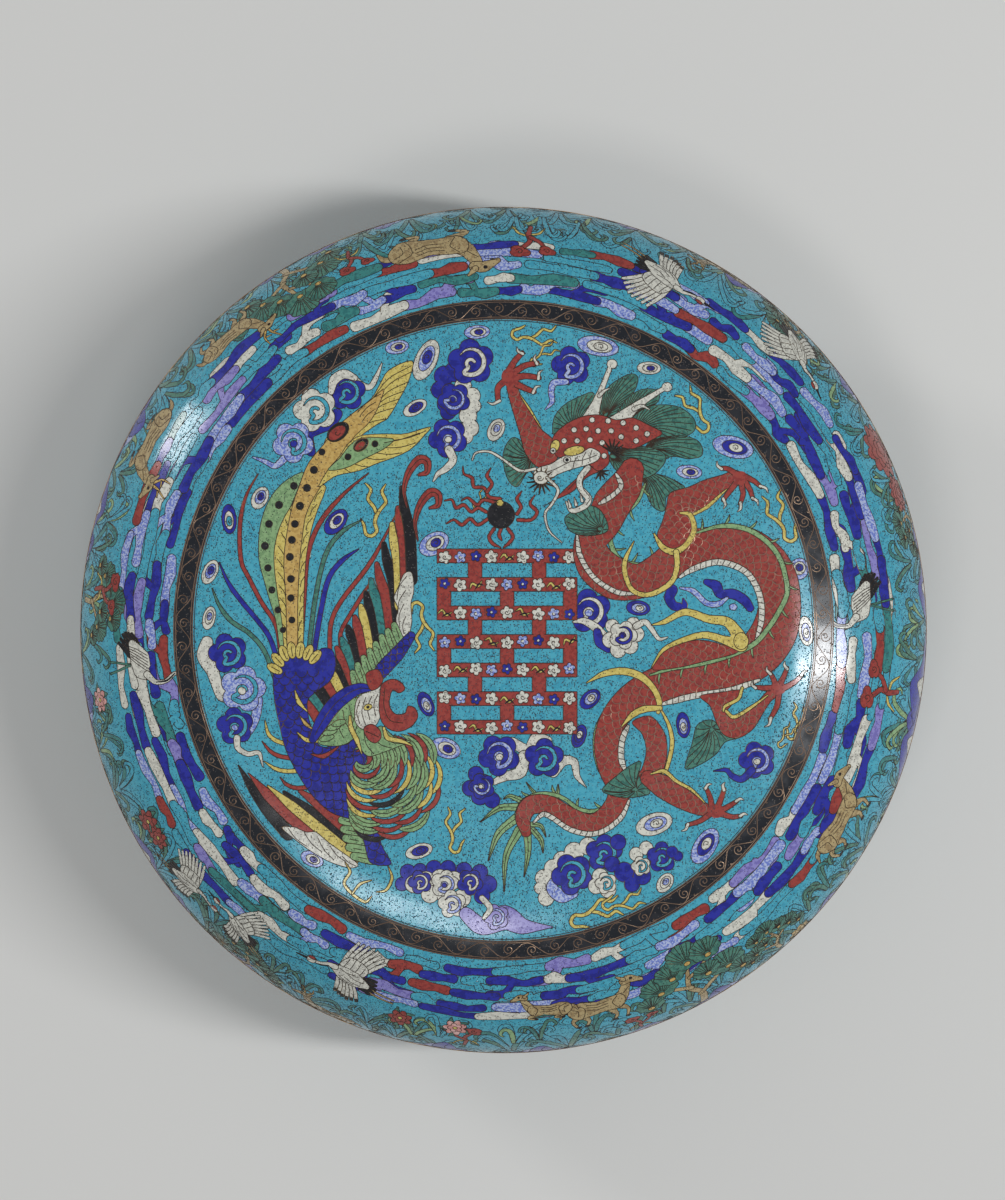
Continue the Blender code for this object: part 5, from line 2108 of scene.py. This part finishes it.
def rounded_ring(name, inner, outer, bottom, top, rounding, material):
    """A band with rounded edges on its section."""
    section = []
    corners = [(outer, bottom, -90), (outer, top, 0), (inner, top, 90), (inner, bottom, 180)]
    for radius, height, start in corners:
        middle = (radius - rounding * (1 if radius == outer else -1),
                  height - rounding * (1 if height == top else -1))
        for step in range(4):
            angle = math.radians(start + 30 * step)
            section.append((middle[0] + rounding * math.cos(angle), middle[1] + rounding * math.sin(angle)))
    return revolve(name, section, BAND_STEPS, [material], smooth_limit=math.radians(60))


def shell(surface):
    """A copper wall's outside, just under the enamel, and its inside, as lines of (radius, height)."""
    pick = np.linspace(0, surface.along[-1], 64)
    radius, height, out, up = (np.interp(pick, surface.along, values) for values in (
        surface.radius, surface.height, surface.out, surface.up))
    return [[(max(0, r - n * depth), z - m * depth) for r, z, n, m in zip(radius, height, out, up)]
            for depth in (WALL_SUNK, WALL)]


def add_shells():
    """The lid's and bowl's copper walls with their lining, as closed turned shells."""
    linings = [rim_copper, enamels["lining"]]
    outer, inner = shell(lid)
    section = outer + inner[::-1]
    slots = [0] * len(outer) + [1] * len(inner)
    lid_shell = revolve("lid_shell", section, SHELL_STEPS, linings, slots)
    outer, inner = shell(bowl)
    side = len(outer) - 1
    outer += [(BASE_RADIUS - 0.0002, BOWL_BOTTOM), (0.0, BOWL_BOTTOM)]
    inner.append((0.0, BOWL_BOTTOM + WALL))
    section = outer + inner[::-1]
    slots = [0] * side + [1] * (len(section) - side - 1) + [0]
    return lid_shell, revolve("bowl_shell", section, SHELL_STEPS, linings, slots)


def add_bands():
    """The gilt bands at both mouths, the lid's locating flange, and the foot ring."""
    outer = BODY_RADIUS + BAND_PROUD
    inner = outer - BAND_WIDTH
    lid_band = rounded_ring("lid_mouth_band", inner, outer, *LID_BAND, BAND_EDGE, band_gilt)
    bottom, top = BOWL_BAND
    flange_outer, flange_inner = (inner - reach for reach in FLANGE_REACH)
    section = []
    for radius, height, start, rounding, in_or_out, up_or_down in (
        (outer, bottom, -90, BAND_EDGE, -1, 1), (outer, top, 0, BAND_EDGE, -1, -1),
        (flange_outer, FLANGE_TOP, 0, FLANGE_EDGE, -1, -1),
        (flange_inner, FLANGE_TOP, 90, FLANGE_EDGE, 1, -1), (flange_inner, bottom, 180, FLANGE_EDGE, 1, 1),
    ):
        if (radius, height) == (flange_outer, FLANGE_TOP):
            section.append((flange_outer, top))
        for step in range(4):
            angle = math.radians(start + 30 * step)
            section.append((radius + in_or_out * rounding + rounding * math.cos(angle),
                            height + up_or_down * rounding + rounding * math.sin(angle)))
    bowl_band = revolve("bowl_mouth_band", section, BAND_STEPS, [band_gilt], smooth_limit=math.radians(60))
    foot = rounded_ring("turned_foot_ring", *FOOT_RADII, 0.0, FOOT_HEIGHT, FOOT_EDGE, band_gilt)
    return lid_band, bowl_band, foot


def dress(name, drawing, sheet, gilding):
    """The enamel sheet of one drawing and its wires, in as many pieces as the wires need."""
    cells, runs = drawing.visible(sheet.fits)
    pieces = [enamel_sheet(name + "_enamel", drawing, sheet, cells, runs)]
    for label, bright, metal in (("wires", False, gilding), ("scale_wires", True, scale_gilt)):
        batch, count, number = [], 0, 1
        wired = [(run, weight) for run, weight, shine in runs if weight > 0 and shine == bright]
        for index, (run, weight) in enumerate(wired):
            batch.append((run, weight))
            count += len(run)
            if count > WIRE_POINTS or index == len(wired) - 1:
                pieces.append(laid_wires(f"{name}_{label}_{number}", batch, sheet, metal))
                batch, count, number = [], 0, number + 1
    return pieces


def add_floor():
    mesh = bpy.data.meshes.new("floor")
    reach = 4.0
    corners = [(-reach, -reach, 0), (reach, -reach, 0), (reach, reach, 0), (-reach, reach, 0)]
    mesh.from_pydata(corners, [], [(0, 1, 2, 3)])
    material = bpy.data.materials.new("pale floor")
    material.use_nodes = True
    shader = material.node_tree.nodes["Principled BSDF"]
    shader.inputs["Base Color"].default_value = linear(214, 212, 208)
    shader.inputs["Roughness"].default_value = 0.85
    mesh.materials.append(material)
    floor = bpy.data.objects.new("floor", mesh)
    bpy.context.scene.collection.objects.link(floor)


def add_light(name, place, wide, high, power, colour=(1.0, 1.0, 1.0)):
    """A soft lamp that points at the middle of the box."""
    data = bpy.data.lights.new(name, "AREA")
    data.shape = "RECTANGLE"
    data.size, data.size_y = wide, high
    data.energy = power
    data.color = colour
    lamp = bpy.data.objects.new(name, data)
    lamp.location = place
    way = Vector((0.0, 0.0, 0.1)) - Vector(place)
    lamp.rotation_euler = way.to_track_quat("-Z", "Y").to_euler()
    bpy.context.scene.collection.objects.link(lamp)


def add_camera():
    data = bpy.data.cameras.new("camera")
    data.lens = LENS
    data.sensor_width = SENSOR
    data.shift_y = 0.025
    data.clip_end = 50
    camera = bpy.data.objects.new("camera", data)
    camera.location = (-0.0005, 0.0, CAMERA_HEIGHT)
    bpy.context.scene.collection.objects.link(camera)
    bpy.context.scene.camera = camera


def add_lights():
    world = bpy.data.worlds.new("soft room")
    world.use_nodes = True
    world.node_tree.nodes["Background"].inputs["Color"].default_value = (0.92, 0.96, 1.0, 1.0)
    world.node_tree.nodes["Background"].inputs["Strength"].default_value = 0.31
    bpy.context.scene.world = world
    add_light("right softbox", (1.15, -0.10, 1.75), 0.14, 1.0, 21.0, (0.96, 0.98, 1.0))
    add_light("upper left strip", (-1.9, 1.15, 0.75), 0.35, 1.0, 16.0)
    add_light("lower sheen", (-0.25, -0.75, 2.15), 0.6, 0.4, 7.0)


bpy.context.scene.view_settings.view_transform = "Standard"
add_camera()
add_lights()
add_floor()

laying = wire_tree()
shells = add_shells()
bands = add_bands()

roundel_sheet = RoundelSheet()
at_roundel = float(np.interp(ROUNDEL_RADIUS, lid.radius, lid.along))
at_border = float(np.interp(BORDER_RADIUS, lid.radius, lid.along))
border_sheet = SideSheet(lid, at_roundel, at_border)
shoulder_sheet = SideSheet(lid, at_border, lid.along[-1])
bowl_sheet = SideSheet(bowl, 0.0, bowl.along[-1])

lid_pieces = [shells[0]]
lid_pieces += dress("roundel", roundel_drawing(), roundel_sheet, wire_gilt)
lid_pieces += dress("border", border_drawing(border_sheet), border_sheet, border_gilt)
lid_pieces += dress("shoulder", shoulder_drawing(shoulder_sheet), shoulder_sheet, wire_gilt)
bowl_pieces = [shells[1]]
bowl_pieces += dress("bowl", bowl_drawing(bowl_sheet), bowl_sheet, wire_gilt)

for piece in lid_pieces + bowl_pieces:
    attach(piece, "root")
for piece in bands:
    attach(piece, "root")
for piece in lid_pieces:
    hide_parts("lid")
for piece in bowl_pieces:
    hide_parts("bowl")
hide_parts("lid_band")
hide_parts("bowl_band")
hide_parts("foot_ring")
